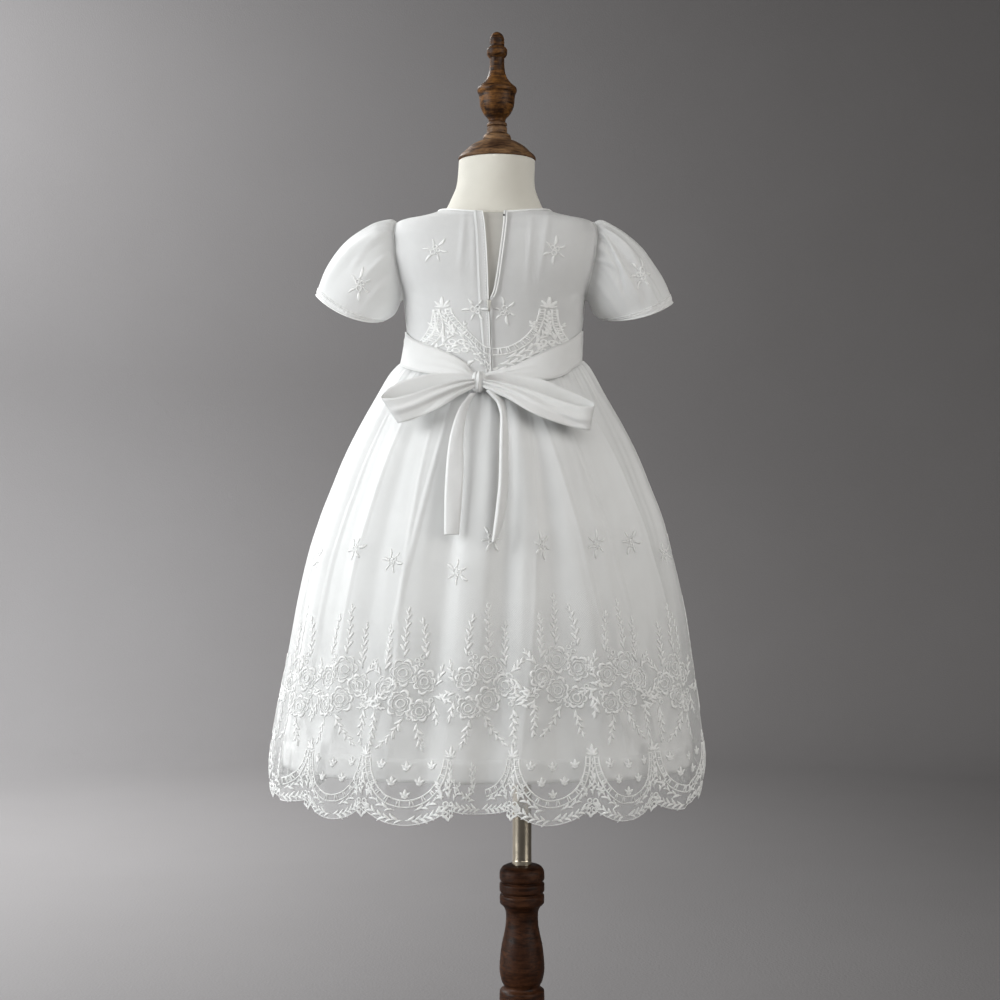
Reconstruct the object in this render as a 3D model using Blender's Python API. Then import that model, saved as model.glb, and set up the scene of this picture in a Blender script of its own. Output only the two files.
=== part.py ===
"""Christening gown on a limbless dress form: the construction, in metres, +Z up.

The origin is the centre of the stand's underside, on the pole's axis. -Y is the gown's back, with the
zip opening and the bow, and +Y is its front. -X is the wearer's left.

The form's surface is one function of a level up its side and an angle round it. The bodice, the
placket and the underlap are that surface moved out, so they follow it and never touch it. The skirt's
two layers are one function of the turn from the centre back and the drop below the waist seam. The
sash, the bow and its tails are placed outside that skirt in the same way.
"""
import math

import bmesh
import bpy
import numpy as np

# ---------------------------------------------------------------- stand sizes
BASE_RADIUS = 0.160
BASE_HEIGHT = 0.030
BASE_ROUND = 0.006               # of its upper edge, in BASE_ROUND_STEPS
BASE_ROUND_STEPS = 4
COLUMN_TOP = 0.275
POLE_RADIUS = 0.0095
POLE_SIDES = 16
SEAM = 0.0003                    # clear gap between pieces that touch
NECK_MIDDLE = -0.0250            # x of the neck's axis: the form leans a little off its pole
NECK_TOP = 0.9787

# Turned profiles: height, radius
TURNING = ("height", "radius")
COLUMN_ROWS = (
    (0.0303, 0.0340), (0.0400, 0.0340), (0.0480, 0.0275), (0.0560, 0.0210), (0.1280, 0.0200),
    (0.1360, 0.0215), (0.1420, 0.0225), (0.1500, 0.0222), (0.1540, 0.0179), (0.1600, 0.0205),
    (0.1720, 0.0225), (0.1900, 0.0212), (0.2210, 0.0160), (0.2340, 0.0185), (0.2375, 0.0222),
    (0.2450, 0.0222), (0.2474, 0.0205), (0.2500, 0.0225), (0.2565, 0.0225), (0.2590, 0.0205),
    (0.2620, 0.0225), (0.2690, 0.0222), (0.2735, 0.0195), (COLUMN_TOP, 0.0165),
)
NECK_CAP_ROWS = (
    (0.9790, 0.0380), (0.9805, 0.0388), (0.9835, 0.0375), (0.9870, 0.0336), (0.9920, 0.0285),
    (0.9965, 0.0224), (1.0020, 0.0140), (1.0060, 0.0103), (1.0090, 0.0101), (1.0120, 0.0101),
    (1.0130, 0.0086), (1.0142, 0.0101), (1.0162, 0.0098), (1.0178, 0.0083),
)
FINIAL_ROWS = (
    (1.0182, 0.0083), (1.0240, 0.0124), (1.0300, 0.0158), (1.0370, 0.0175), (1.0460, 0.0184),
    (1.0480, 0.0199), (1.0525, 0.0199), (1.0545, 0.0150), (1.0570, 0.0105), (1.0640, 0.0080),
    (1.0780, 0.0080), (1.0810, 0.0094), (1.0865, 0.0102), (1.0915, 0.0094), (1.0930, 0.0074),
    (1.1005, 0.0073), (1.1045, 0.0058), (1.1070, 0.0032), (1.1080, 0.0010),
)

# ---------------------------------------------------------------- form and bodice sizes
# Level sections of the form, from its underside to the neck's top; fullness 2 is an ellipse.
BODY = ("height", "middle", "half_width", "half_depth", "fullness")
BODY_ROWS = (
    (0.6120, -0.0270, 0.0860, 0.0620, 2.00),
    (0.6170, -0.0270, 0.0950, 0.0690, 2.00),
    (0.6400, -0.0270, 0.1000, 0.0730, 2.00),
    (0.6900, -0.0270, 0.0970, 0.0710, 2.00),
    (0.7400, -0.0272, 0.0885, 0.0645, 2.00),
    (0.7780, -0.0278, 0.0833, 0.0610, 2.00),
    (0.8000, -0.0278, 0.0834, 0.0603, 2.00),
    (0.8200, -0.0277, 0.0852, 0.0605, 2.05),
    (0.8400, -0.0275, 0.0876, 0.0610, 2.12),
    (0.8650, -0.0272, 0.0970, 0.0605, 2.30),
    (0.8850, -0.0268, 0.1008, 0.0582, 2.40),
    (0.9000, -0.0266, 0.1010, 0.0535, 2.40),
    (0.9080, -0.0266, 0.0990, 0.0490, 2.35),
    (0.9145, -0.0268, 0.0950, 0.0455, 2.25),
    (0.9178, -0.0268, 0.0805, 0.0430, 2.10),
    (0.9213, -0.0270, 0.0655, 0.0415, 2.00),
    (0.9246, -0.0272, 0.0562, 0.0406, 2.00),
    (0.9290, -0.0273, 0.0508, 0.0400, 2.00),
    (0.9345, -0.0272, 0.0472, 0.0396, 2.00),
    (0.9400, -0.0271, 0.0448, 0.0393, 2.00),
    (0.9460, -0.0269, 0.0422, 0.0391, 2.00),
    (0.9520, -0.0265, 0.0402, 0.0390, 2.00),
    (0.9600, -0.0260, 0.0392, 0.0389, 2.00),
    (NECK_TOP, -0.0250, 0.0388, 0.0388, 2.00),
)
FORM_INSET = 0.0008              # how far the form's faces lie inside that surface
EASE = 0.0019                    # from that surface out to the bodice
CLOTH = 0.0012                   # bodice and skirt wall
LAID_ON = 0.0004                 # gap under a strip that lies on a panel

WAIST = 0.7790                   # height of the waist seam at the sides
WAIST_DIP_BACK = 0.0200
WAIST_DIP_FRONT = 0.0060
BODICE_LIFT = 0.0008             # the bodice's lower edge above the seam line
NECK_SIDE = 0.9256               # level heights of the neckline: at the shoulder seams,
NECK_BACK = 0.9200               # the centre back
NECK_FRONT = 0.9030              # and the centre front
SHOULDER_TIP = 0.9144
UNDERARM = 0.8400
ARMHOLE_BACK = 0.0250            # how far the armhole is cut into the back and the front
ARMHOLE_FRONT = 0.0320
ARMHOLE_INSET = 0.0012           # how far the sleeve's head lies inside the armhole's edge

# The opening at the centre back: height, x of the left panel's edge and of the right panel's edge,
# both from the bodice's middle; width of the pressed placket on the left panel.
OPENING = ("height", "left_edge", "right_edge", "placket")
OPENING_ROWS = (
    (0.7500, -0.0026, -0.0020, 0.0050),
    (0.8050, -0.0036, -0.0030, 0.0058),
    (0.8320, -0.0052, -0.0046, 0.0072),
    (0.8420, -0.0062, -0.0010, 0.0080),
    (0.8600, -0.0070, 0.0022, 0.0090),
    (0.8900, -0.0092, 0.0060, 0.0100),
    (0.9100, -0.0114, 0.0084, 0.0100),
    (0.9250, -0.0138, 0.0096, 0.0090),
)
ZIP_TAPE = 0.0040                # width of the zip's tape along the right edge
STRIP = 0.0010                   # thickness of the placket, the tape and the underlap
UNDERLAP_FIRST_ROW = 4           # the row of the back panels where the underlap starts
UNDERLAP_MARGIN = 0.0050         # how far the underlap reaches behind each panel
SLIDER_SIZE = (0.0052, 0.0024, 0.0110)
SLIDER_HEIGHT = 0.8290

# ---------------------------------------------------------------- sleeve sizes
# Where each sleeve's top line and underarm line run, from the armhole to the cuff: x and z of both,
# half depth, and how far the hem hangs below the straight line between them.
SLEEVE = ("top_x", "top_z", "low_x", "low_z", "half_depth", "sag")
SLEEVE_ROWS = {
    "left": (
        (-0.1240, 0.9175, -0.1184, 0.8425, 0.0290, 0.0000),
        (-0.1310, 0.9203, -0.1214, 0.8396, 0.0325, 0.0000),
        (-0.1430, 0.9185, -0.1230, 0.8352, 0.0355, 0.0004),
        (-0.1590, 0.9105, -0.1244, 0.8310, 0.0372, 0.0010),
        (-0.1750, 0.8990, -0.1262, 0.8274, 0.0378, 0.0020),
        (-0.1880, 0.8840, -0.1290, 0.8243, 0.0372, 0.0032),
        (-0.1975, 0.8680, -0.1325, 0.8216, 0.0360, 0.0044),
        (-0.2028, 0.8540, -0.1370, 0.8195, 0.0345, 0.0054),
        (-0.2052, 0.8450, -0.1425, 0.8188, 0.0335, 0.0060),
    ),
    "right": (
        (0.0715, 0.9172, 0.0644, 0.8425, 0.0290, 0.0000),
        (0.0795, 0.9195, 0.0674, 0.8390, 0.0325, 0.0000),
        (0.0920, 0.9140, 0.0688, 0.8345, 0.0355, 0.0004),
        (0.1070, 0.9040, 0.0702, 0.8304, 0.0372, 0.0010),
        (0.1205, 0.8915, 0.0718, 0.8266, 0.0378, 0.0020),
        (0.1320, 0.8755, 0.0745, 0.8242, 0.0372, 0.0028),
        (0.1410, 0.8615, 0.0780, 0.8222, 0.0360, 0.0036),
        (0.1470, 0.8480, 0.0830, 0.8210, 0.0345, 0.0042),
        (0.1502, 0.8375, 0.0900, 0.8208, 0.0335, 0.0045),
    ),
}
# Folds of each sleeve: where the ridge starts at the armhole and ends at the cuff, as turns from the
# top line towards the back, its half width in degrees, its height, and where it dies out.
SLEEVE_FOLD = ("start", "end", "half_width", "rise", "length")
SLEEVE_FOLD_ROWS = {
    "left": (
        (62, 30, 17, 0.0028, 0.92),
        (104, 70, 18, 0.0018, 0.75),
        (-50, -30, 18, 0.0024, 0.85),
        (-95, -75, 20, 0.0018, 0.80),
    ),
    "right": (
        (42, 66, 14, 0.0032, 0.95),
        (74, 92, 14, 0.0026, 0.80),
        (-60, -38, 18, 0.0024, 0.85),
        (-100, -80, 20, 0.0018, 0.80),
    ),
}
SLEEVE_GATHERS = 20              # gathers round the sleeve's head
SLEEVE_GATHER_RISE = 0.0012
SLEEVE_COLUMNS = 40
SLEEVE_RINGS = 7
SLEEVE_WALL = 0.0010

# ---------------------------------------------------------------- skirt sizes
# Sections of the skirt below the waist seam.
SKIRT = ("drop", "middle", "half_width", "half_depth")
SKIRT_ROWS = (
    (0.000, -0.0285, 0.0876, 0.0668),
    (0.005, -0.0290, 0.0932, 0.0702),
    (0.013, -0.0300, 0.0995, 0.0745),
    (0.029, -0.0305, 0.1092, 0.0816),
    (0.061, -0.0302, 0.1280, 0.0935),
    (0.093, -0.0300, 0.1440, 0.1045),
    (0.125, -0.0300, 0.1570, 0.1135),
    (0.157, -0.0300, 0.1695, 0.1215),
    (0.189, -0.0310, 0.1788, 0.1280),
    (0.221, -0.0308, 0.1868, 0.1335),
    (0.253, -0.0308, 0.1932, 0.1375),
    (0.301, -0.0317, 0.2010, 0.1420),
    (0.349, -0.0330, 0.2092, 0.1460),
    (0.397, -0.0342, 0.2150, 0.1485),
    (0.420, -0.0355, 0.2130, 0.1480),
    (0.445, -0.0368, 0.2080, 0.1465),
)
HEM = 0.3400                     # height of the overlay's lowest scallops at the sides
# Folds of the skirt: the turn from the centre back, in degrees towards +X, at the waist and at the
# hem; half width in degrees; rise, where less than nothing is a hollow.
FOLD = ("waist_turn", "hem_turn", "half_width", "rise")
FOLD_ROWS = (
    (-80, -84, 8, 0.0025), (-61, -64, 8, 0.0040), (-43, -45, 8, 0.0045), (-22, -28, 8, 0.0055),
    (-10, -21, 6, -0.0035), (-3, -16, 8, 0.0060), (-2, -3, 6, -0.0070), (4, 7, 8, 0.0055),
    (17, 14, 6, -0.0035), (22, 33, 7, 0.0060), (30, 42, 7, 0.0045), (55, 61, 8, 0.0040),
    (74, 79, 8, 0.0025), (97, 96, 9, 0.0030), (115, 117, 8, 0.0050), (132, 137, 8, 0.0045),
    (150, 153, 8, 0.0055), (163, 162, 6, -0.0040), (172, 176, 8, 0.0060), (190, 187, 8, 0.0050),
    (200, 199, 6, -0.0045), (211, 213, 8, 0.0055), (229, 226, 8, 0.0050), (246, 247, 8, 0.0045),
    (264, 262, 9, 0.0030),
)
FOLD_GROWTH = 0.110              # drop over which the folds reach their full rise
GATHERS = 36
GATHER_RISE = 0.0020
GATHER_DROP = 0.050              # drop over which the gathers fade
# Scallops of the overlay's hem, each from one cusp to the next: where it starts, and its depth.
SCALLOP = ("start_turn", "depth")
SCALLOP_ROWS = (
    (-110, 0.0120), (-80, 0.0060), (-52, 0.0150), (-32, 0.0165), (-9, 0.0050), (6, 0.0165),
    (27, 0.0155), (47, 0.0130), (78, 0.0110), (109, 0.0140), (136, 0.0160), (159, 0.0165),
    (181, 0.0160), (204, 0.0165), (227, 0.0150),
)
OVERLAY_COLUMNS = 3 * GATHERS
# Where the rows of points run, as shares of the way from the seam to the hem.
OVERLAY_ROWS = (0.0, 0.02, 0.06, 0.13, 0.23, 0.36, 0.51, 0.67, 0.83, 0.94, 1.0)
LINING_COLUMNS = 48
LINING_ROWS = (0.0, 0.06, 0.20, 0.42, 0.70, 1.0)
LINING_HEM = 0.3780
LINING_INSET_TOP = 0.0019        # how far the lining lies inside the overlay
LINING_INSET_LOW = 0.0135
LINING_FOLDS = 0.45              # share of the overlay's folds that the lining follows

# ---------------------------------------------------------------- sash and bow sizes
# The sash, from the right of the knot round the front to its left.
SASH = ("turn", "upper", "lower")
SASH_ROWS = (
    (-4.5, 0.7620, 0.7545), (11, 0.7682, 0.7592), (20, 0.7745, 0.7578), (30, 0.7820, 0.7566),
    (43, 0.7896, 0.7612), (56, 0.7960, 0.7700), (85, 0.8075, 0.7800), (135, 0.8080, 0.7785),
    (180, 0.8080, 0.7735), (225, 0.8080, 0.7785), (270, 0.8075, 0.7800), (297, 0.7975, 0.7706),
    (316, 0.7895, 0.7642), (331, 0.7812, 0.7610), (341, 0.7725, 0.7585), (346.0, 0.7645, 0.7565),
)
SASH_COLUMNS = 44
SASH_TOP_CLEAR = 0.0022          # outer face beyond the bodice
SASH_SIDE_CLEAR = 0.0012         # outer face beyond the seam, where the sash ends above it
SASH_LOW_CLEAR = 0.0052          # outer face beyond the skirt's gathers
SASH_OVERLAP = 0.0010            # height above the seam at which it starts to stand out for them
RIBBON = 0.0011                  # thickness of the sash, loops and tails
KNOT = (-0.0424, -0.0830, 0.7525)
KNOT_HALF = (0.0062, 0.0070, 0.0100)
KNOT_PLEATS = 6                  # upright pleats round the knot
KNOT_PLEAT_RISE = 0.06           # of the knot's half depth
KNOT_SECTION = ("height", "share")
KNOT_ROWS = ((-1.0, 0.72), (-0.8, 0.94), (-0.35, 1.0), (0.35, 0.96), (0.8, 0.88), (1.0, 0.68))
LOOP_CLEAR = 0.0080              # how far the loops' inner leaf stays off the skirt's folds
TAIL_CLEAR = 0.0085

# Bow loops: x and z of the ribbon's upper and lower edge from the knot's middle, and how far that
# place stands out beyond the inner leaf. Each starts and ends beside the knot.
LOOP = ("upper_x", "upper_z", "lower_x", "lower_z", "out")
LOOP_ROWS = {
    "left": (
        (-0.0072, 0.0040, -0.0072, -0.0040, 0.0000),
        (-0.0200, 0.0078, -0.0180, -0.0090, 0.0004),
        (-0.0380, 0.0078, -0.0330, -0.0150, 0.0008),
        (-0.0600, 0.0042, -0.0530, -0.0220, 0.0010),
        (-0.0800, -0.0030, -0.0690, -0.0300, 0.0012),
        (-0.0895, -0.0105, -0.0750, -0.0362, 0.0030),
        (-0.0925, -0.0150, -0.0768, -0.0385, 0.0075),
        (-0.0895, -0.0170, -0.0758, -0.0393, 0.0125),
        (-0.0800, -0.0165, -0.0700, -0.0382, 0.0155),
        (-0.0640, -0.0130, -0.0560, -0.0338, 0.0160),
        (-0.0410, -0.0050, -0.0366, -0.0247, 0.0140),
        (-0.0200, 0.0005, -0.0200, -0.0140, 0.0100),
        (-0.0072, 0.0020, -0.0072, -0.0062, 0.0070),
    ),
    "right": (
        (0.0072, 0.0045, 0.0072, -0.0040, 0.0000),
        (0.0210, 0.0083, 0.0230, -0.0090, 0.0004),
        (0.0440, 0.0052, 0.0470, -0.0165, 0.0008),
        (0.0620, 0.0015, 0.0660, -0.0235, 0.0010),
        (0.0840, -0.0080, 0.0860, -0.0330, 0.0014),
        (0.1020, -0.0165, 0.1000, -0.0410, 0.0036),
        (0.1100, -0.0215, 0.1055, -0.0455, 0.0085),
        (0.1080, -0.0245, 0.1035, -0.0460, 0.0135),
        (0.0980, -0.0245, 0.0940, -0.0445, 0.0160),
        (0.0820, -0.0205, 0.0765, -0.0399, 0.0165),
        (0.0600, -0.0125, 0.0499, -0.0295, 0.0145),
        (0.0330, -0.0035, 0.0290, -0.0170, 0.0105),
        (0.0072, 0.0010, 0.0072, -0.0060, 0.0070),
    ),
}
LOOP_COLUMNS = 18
# Tails: height, x of the left and the right edge, and how far each edge stands out.
TAIL = ("height", "left_x", "right_x", "left_out", "right_out")
TAIL_ROWS = {
    "left": (
        (0.7415, -0.0500, -0.0455, 0.0030, 0.0030),
        (0.7360, -0.0540, -0.0495, 0.0050, 0.0020),
        (0.7270, -0.0602, -0.0530, 0.0060, 0.0010),
        (0.7130, -0.0655, -0.0555, 0.0060, 0.0008),
        (0.6940, -0.0697, -0.0573, 0.0060, 0.0006),
        (0.6650, -0.0723, -0.0567, 0.0060, 0.0004),
        (0.6380, -0.0733, -0.0583, 0.0060, 0.0004),
        (0.6080, -0.0733, -0.0604, 0.0058, 0.0004),
    ),
    "right": (
        (0.7440, -0.0352, -0.0292, 0.0125, 0.0095),
        (0.7390, -0.0305, -0.0225, 0.0125, 0.0060),
        (0.7320, -0.0246, -0.0178, 0.0110, 0.0020),
        (0.7180, -0.0212, -0.0158, 0.0110, 0.0008),
        (0.6950, -0.0218, -0.0146, 0.0110, 0.0004),
        (0.6600, -0.0226, -0.0146, 0.0110, 0.0004),
        (0.6280, -0.0258, -0.0180, 0.0105, 0.0004),
        (0.6010, -0.0290, -0.0262, 0.0095, 0.0030),
    ),
}

# ---------------------------------------------------------------- grids
FORM_COLUMNS = 28
FORM_LEVELS = (0.0, 0.02, 0.09, 0.20, 0.30, 0.40, 0.48, 0.56, 0.63, 0.69, 0.745, 0.80, 0.86, 0.91, 1.0)
BACK_COLUMNS = 11
FRONT_COLUMNS = 20
SHOULDER_COLUMNS = 4             # of them, those along the shoulder seam
PANEL_ROWS = 13
COLUMN_SIDES = 16
TURNED_SIDES = 16
BASE_SIDES = 32
CAP_SIDES = 20
KNOT_SIDES = 16
LEVEL_STEPS = 600                # steps in which a level is looked up from its height
NORMAL_STEP = 1e-4               # step round the form over which its normal is measured
SLIDER_ROUND = 0.0007
SMOOTH_ANGLE = math.radians(50)

# Materials: colour, roughness, metallic
FINISHES = {
    "ivory_lining": ((0.86, 0.86, 0.84), 0.55, 0.0),
    "white_tulle": ((0.90, 0.90, 0.89), 0.70, 0.0),
    "satin_ribbon": ((0.88, 0.88, 0.86), 0.35, 0.0),
    "form_cover": ((0.74, 0.70, 0.61), 0.90, 0.0),
    "dark_wood": ((0.055, 0.028, 0.016), 0.35, 0.0),
    "nickel": ((0.62, 0.60, 0.57), 0.22, 1.0),
    "zip_metal": ((0.70, 0.70, 0.70), 0.35, 1.0),
}


# ---------------------------------------------------------------- tables and curves
def table(names, rows):
    """A table's columns as arrays, by name."""
    return dict(zip(names, np.array(rows, dtype=float).T))


def smooth(at, stations, values):
    """A curve through a table's values that never swings past them."""
    span = np.diff(stations)
    slope = np.diff(values) / span
    product = slope[1:] * slope[:-1]
    total = np.where(product > 0, slope[1:] + slope[:-1], 1.0)
    inner = np.where(product > 0, 2 * product / total, 0.0)
    tangent = np.concatenate([slope[:1], inner, slope[-1:]])
    cell = np.clip(np.searchsorted(stations, at) - 1, 0, len(span) - 1)
    share = np.clip((at - stations[cell]) / span[cell], 0, 1)
    rest = 1 - share
    return (values[cell] * rest ** 2 * (1 + 2 * share)
            + values[cell + 1] * share ** 2 * (1 + 2 * rest)
            + span[cell] * (tangent[cell] * share * rest ** 2 - tangent[cell + 1] * share ** 2 * rest))


def bump(distance, half_width):
    """A round ridge, 1 at its crest and 0 beyond its half width."""
    return np.cos(np.clip(distance / half_width, -1, 1) * math.pi / 2) ** 2


def around(angle):
    """An angle in degrees, brought between -180 and 180."""
    return (angle + 180) % 360 - 180


# ---------------------------------------------------------------- meshes
def make_material(name):
    colour, roughness, metallic = FINISHES[name]
    material = bpy.data.materials.get(name)
    if material is None:
        material = bpy.data.materials.new(name)
        material.use_nodes = True
        shader = material.node_tree.nodes["Principled BSDF"]
        shader.inputs["Base Color"].default_value = (*colour, 1.0)
        shader.inputs["Roughness"].default_value = roughness
        shader.inputs["Metallic"].default_value = metallic
    return material


def make_object(name, points, faces, finish):
    """An object from points and faces, with its faces pointing out and round stretches smooth."""
    mesh = bpy.data.meshes.new(name)
    mesh.from_pydata(points.reshape(-1, 3).tolist(), [], faces)
    shape = bmesh.new()
    shape.from_mesh(mesh)
    bmesh.ops.recalc_face_normals(shape, faces=shape.faces)
    shape.to_mesh(mesh)
    shape.free()
    mesh.shade_smooth()
    mesh.set_sharp_from_angle(angle=SMOOTH_ANGLE)
    mesh.materials.append(make_material(finish))
    piece = bpy.data.objects.new(name, mesh)
    bpy.context.scene.collection.objects.link(piece)
    return piece


def quads(index, closed):
    """Four-sided faces over a grid of point numbers; a closed grid runs round and meets itself."""
    if closed:
        index = np.hstack([index, index[:, :1]])
    corners = (index[:-1, :-1], index[:-1, 1:], index[1:, 1:], index[1:, :-1])
    return np.stack(corners, axis=-1).reshape(-1, 4).tolist()


def wall(name, outer, inner, finish, closed):
    """A cloth wall: two grids of points joined along their edges."""
    rows, columns = outer.shape[:2]
    front = np.arange(rows * columns).reshape(rows, columns)
    back = front + rows * columns
    faces = quads(front, closed) + quads(back[::-1], closed)
    for edge in (0, -1):
        faces += quads(np.stack([front[edge], back[edge]]), closed)
        if not closed:
            faces += quads(np.stack([front[:, edge], back[:, edge]]), False)
    return make_object(name, np.concatenate([outer, inner]), faces, finish)


def stacked_solid(name, rings, finish):
    """A solid through closed rings of points, with a flat face on each end ring."""
    rows, columns = rings.shape[:2]
    index = np.arange(rows * columns).reshape(rows, columns)
    faces = quads(index, True) + [index[0, ::-1].tolist(), index[-1].tolist()]
    return make_object(name, rings, faces, finish)


def grid_normals(points, closed):
    """Unit normals of a grid of points."""
    if closed:
        across = np.roll(points, -1, axis=1) - np.roll(points, 1, axis=1)
    else:
        across = np.gradient(points, axis=1)
    normal = np.cross(across, np.gradient(points, axis=0))
    return normal / np.linalg.norm(normal, axis=-1, keepdims=True)


def turned_solid(name, rows, middle, sides, finish):
    """A piece turned on a lathe about an upright axis at x = middle."""
    profile = table(TURNING, rows)
    turn = np.linspace(0, 2 * math.pi, sides, endpoint=False)
    radius, height = profile["radius"][:, None], profile["height"][:, None] + np.zeros(sides)
    rings = np.stack([middle + radius * np.cos(turn), radius * np.sin(turn), height], axis=-1)
    return stacked_solid(name, rings, finish)


# ---------------------------------------------------------------- form
BODY_TABLE = table(BODY, BODY_ROWS)
BODY_LEVEL = np.concatenate([[0.0], np.cumsum(np.hypot(np.diff(BODY_TABLE["height"]),
                                                       np.diff(BODY_TABLE["half_width"])))])


def level_at(height):
    """The level at which the form's surface reaches a height."""
    levels = np.linspace(0, BODY_LEVEL[-1], LEVEL_STEPS)
    return np.interp(height, smooth(levels, BODY_LEVEL, BODY_TABLE["height"]), levels)


def body_point(level, angle):
    """A point of the form's surface: its level up the side, and its angle round from +X."""
    level, angle = np.broadcast_arrays(level, angle)
    height, middle, half_width, half_depth, fullness = (
        smooth(level, BODY_LEVEL, BODY_TABLE[name]) for name in BODY)
    reach = (np.abs(np.cos(angle) / half_width) ** fullness
             + np.abs(np.sin(angle) / half_depth) ** fullness) ** (-1 / fullness)
    return np.stack([middle + reach * np.cos(angle), reach * np.sin(angle), height], axis=-1)


def moved_out(level, angle, distance):
    """Points of the form's surface, moved out along its normals."""
    rise = NORMAL_STEP / 10
    along = body_point(level, angle + NORMAL_STEP) - body_point(level, angle - NORMAL_STEP)
    up = body_point(level + rise, angle) - body_point(level - rise, angle)
    normal = np.cross(along, up)
    normal /= np.linalg.norm(normal, axis=-1, keepdims=True)
    return body_point(level, angle) + normal * distance


def make_form():
    levels = np.array(FORM_LEVELS) * BODY_LEVEL[-1]
    angles = np.linspace(0, 2 * math.pi, FORM_COLUMNS, endpoint=False)
    rings = body_point(levels[:, None], angles[None, :])
    middle = rings.mean(axis=1, keepdims=True)
    reach = np.linalg.norm(rings - middle, axis=-1, keepdims=True)
    stacked_solid("form_torso", middle + (rings - middle) * (1 - FORM_INSET / reach), "form_cover")


def make_stand():
    base = [(0.0, BASE_RADIUS)]
    for step in range(BASE_ROUND_STEPS + 1):
        corner = math.radians(90 * step / BASE_ROUND_STEPS)
        base.append((BASE_HEIGHT - BASE_ROUND * (1 - math.sin(corner)),
                     BASE_RADIUS - BASE_ROUND * (1 - math.cos(corner))))
    turned_solid("base_disc", base, 0.0, BASE_SIDES, "dark_wood")
    turned_solid("column", COLUMN_ROWS, 0.0, COLUMN_SIDES, "dark_wood")
    pole = ((COLUMN_TOP + SEAM, POLE_RADIUS), (BODY_ROWS[0][0] - SEAM, POLE_RADIUS))
    turned_solid("pole", pole, 0.0, POLE_SIDES, "nickel")
    turned_solid("neck_cap", NECK_CAP_ROWS, NECK_MIDDLE, CAP_SIDES, "dark_wood")
    turned_solid("finial", FINIAL_ROWS, NECK_MIDDLE, TURNED_SIDES, "dark_wood")


# ---------------------------------------------------------------- bodice
def waist_height(turn):
    """Height of the waist seam: level at the sides, lower at the centre back and front."""
    back = np.cos(turn)
    return WAIST - np.where(back > 0, WAIST_DIP_BACK, WAIST_DIP_FRONT) * back ** 2


def blended(low, high, first, second):
    """A patch of (angle, level) pairs between four edges that meet at their ends."""
    across = np.linspace(0, 1, len(low))[None, :, None]
    up = np.linspace(0, 1, len(first))[:, None, None]
    corners = ((1 - up) * ((1 - across) * low[0] + across * low[-1])
               + up * ((1 - across) * high[0] + across * high[-1]))
    return ((1 - up) * low[None] + up * high[None]
            + (1 - across) * first[:, None] + across * second[:, None] - corners)


def pairs(angle, level):
    """Angles and levels side by side."""
    return np.stack(np.broadcast_arrays(angle, level), axis=-1)


def armhole_edge(count, side, face):
    """(angle, level) pairs of half an armhole, from the underarm to the shoulder tip."""
    share = np.linspace(0, math.pi, count)
    depth = ARMHOLE_BACK if face < 0 else ARMHOLE_FRONT
    height = (UNDERARM + SHOULDER_TIP) / 2 - (SHOULDER_TIP - UNDERARM) / 2 * np.cos(share)
    level = level_at(height)
    reach = smooth(level, BODY_LEVEL, BODY_TABLE["half_width"])
    angle = face * np.arctan2(depth * np.sin(share), reach)
    return pairs(angle if side > 0 else face * math.pi - angle, level)


def side_edge(side, face):
    """(angle, level) pairs of a panel's side: up the side seam, then round the armhole."""
    low = 5
    side_angle = 0.0 if side > 0 else face * math.pi
    seam = pairs(side_angle, np.linspace(level_at(WAIST + BODICE_LIFT), level_at(UNDERARM), low)[:-1])
    return np.concatenate([seam, armhole_edge(PANEL_ROWS - low + 1, side, face)])


def neck_and_shoulder(count, side, face, centre):
    """(angle, level) pairs of a panel's top, from the centre angle to the shoulder tip."""
    side_angle = 0.0 if side > 0 else face * math.pi
    neck_middle = NECK_BACK if face < 0 else NECK_FRONT
    share = np.linspace(0, 1, count - SHOULDER_COLUMNS)
    angle = centre + (side_angle - centre) * share
    height = neck_middle + (NECK_SIDE - neck_middle) * np.sin(share * math.pi / 2) ** 2
    shoulder = np.linspace(level_at(NECK_SIDE), level_at(SHOULDER_TIP), SHOULDER_COLUMNS + 1)[1:]
    return np.concatenate([pairs(angle, level_at(height)), pairs(side_angle, shoulder)])


def waist_edge(angles):
    """(angle, level) pairs along the bodice's lower edge."""
    return pairs(angles, level_at(waist_height(angles + math.pi / 2) + BODICE_LIFT))


def panel(name, patch, sides):
    """A bodice panel over a patch; sides tells which of its two upright edges lie on a side seam."""
    angle, level = patch[..., 0], patch[..., 1]
    inner = moved_out(level, angle, EASE)
    outer = moved_out(level, angle, EASE + CLOTH)
    face = np.sign(inner[len(inner) // 2, inner.shape[1] // 2, 1])
    for layer in (inner, outer):
        layer[..., 1] = face * np.maximum(face * layer[..., 1], SEAM if sides else -1)
    return wall(name, outer, inner, "white_tulle", False)


def edge_angle(height, offset):
    """The angle at which a line this far from the middle crosses the back of the form."""
    depth = smooth(level_at(height), BODY_LEVEL, BODY_TABLE["half_depth"]) + EASE + CLOTH
    return -math.pi / 2 + np.arctan2(offset, depth)


def make_back_panels():
    opening = table(OPENING, OPENING_ROWS)
    heights = back_heights()
    for name, side in (("left", -1), ("right", 1)):
        offset = smooth(heights, opening["height"], opening[name + "_edge"])
        centre = edge_angle(heights, offset)
        first = pairs(centre, level_at(heights))
        side_angle = 0.0 if side > 0 else -math.pi
        low = waist_edge(np.linspace(centre[0], side_angle, BACK_COLUMNS))
        high = neck_and_shoulder(BACK_COLUMNS, side, -1, centre[-1])
        panel("bodice_back_" + name, blended(low, high, first, side_edge(side, -1)), True)


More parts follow.
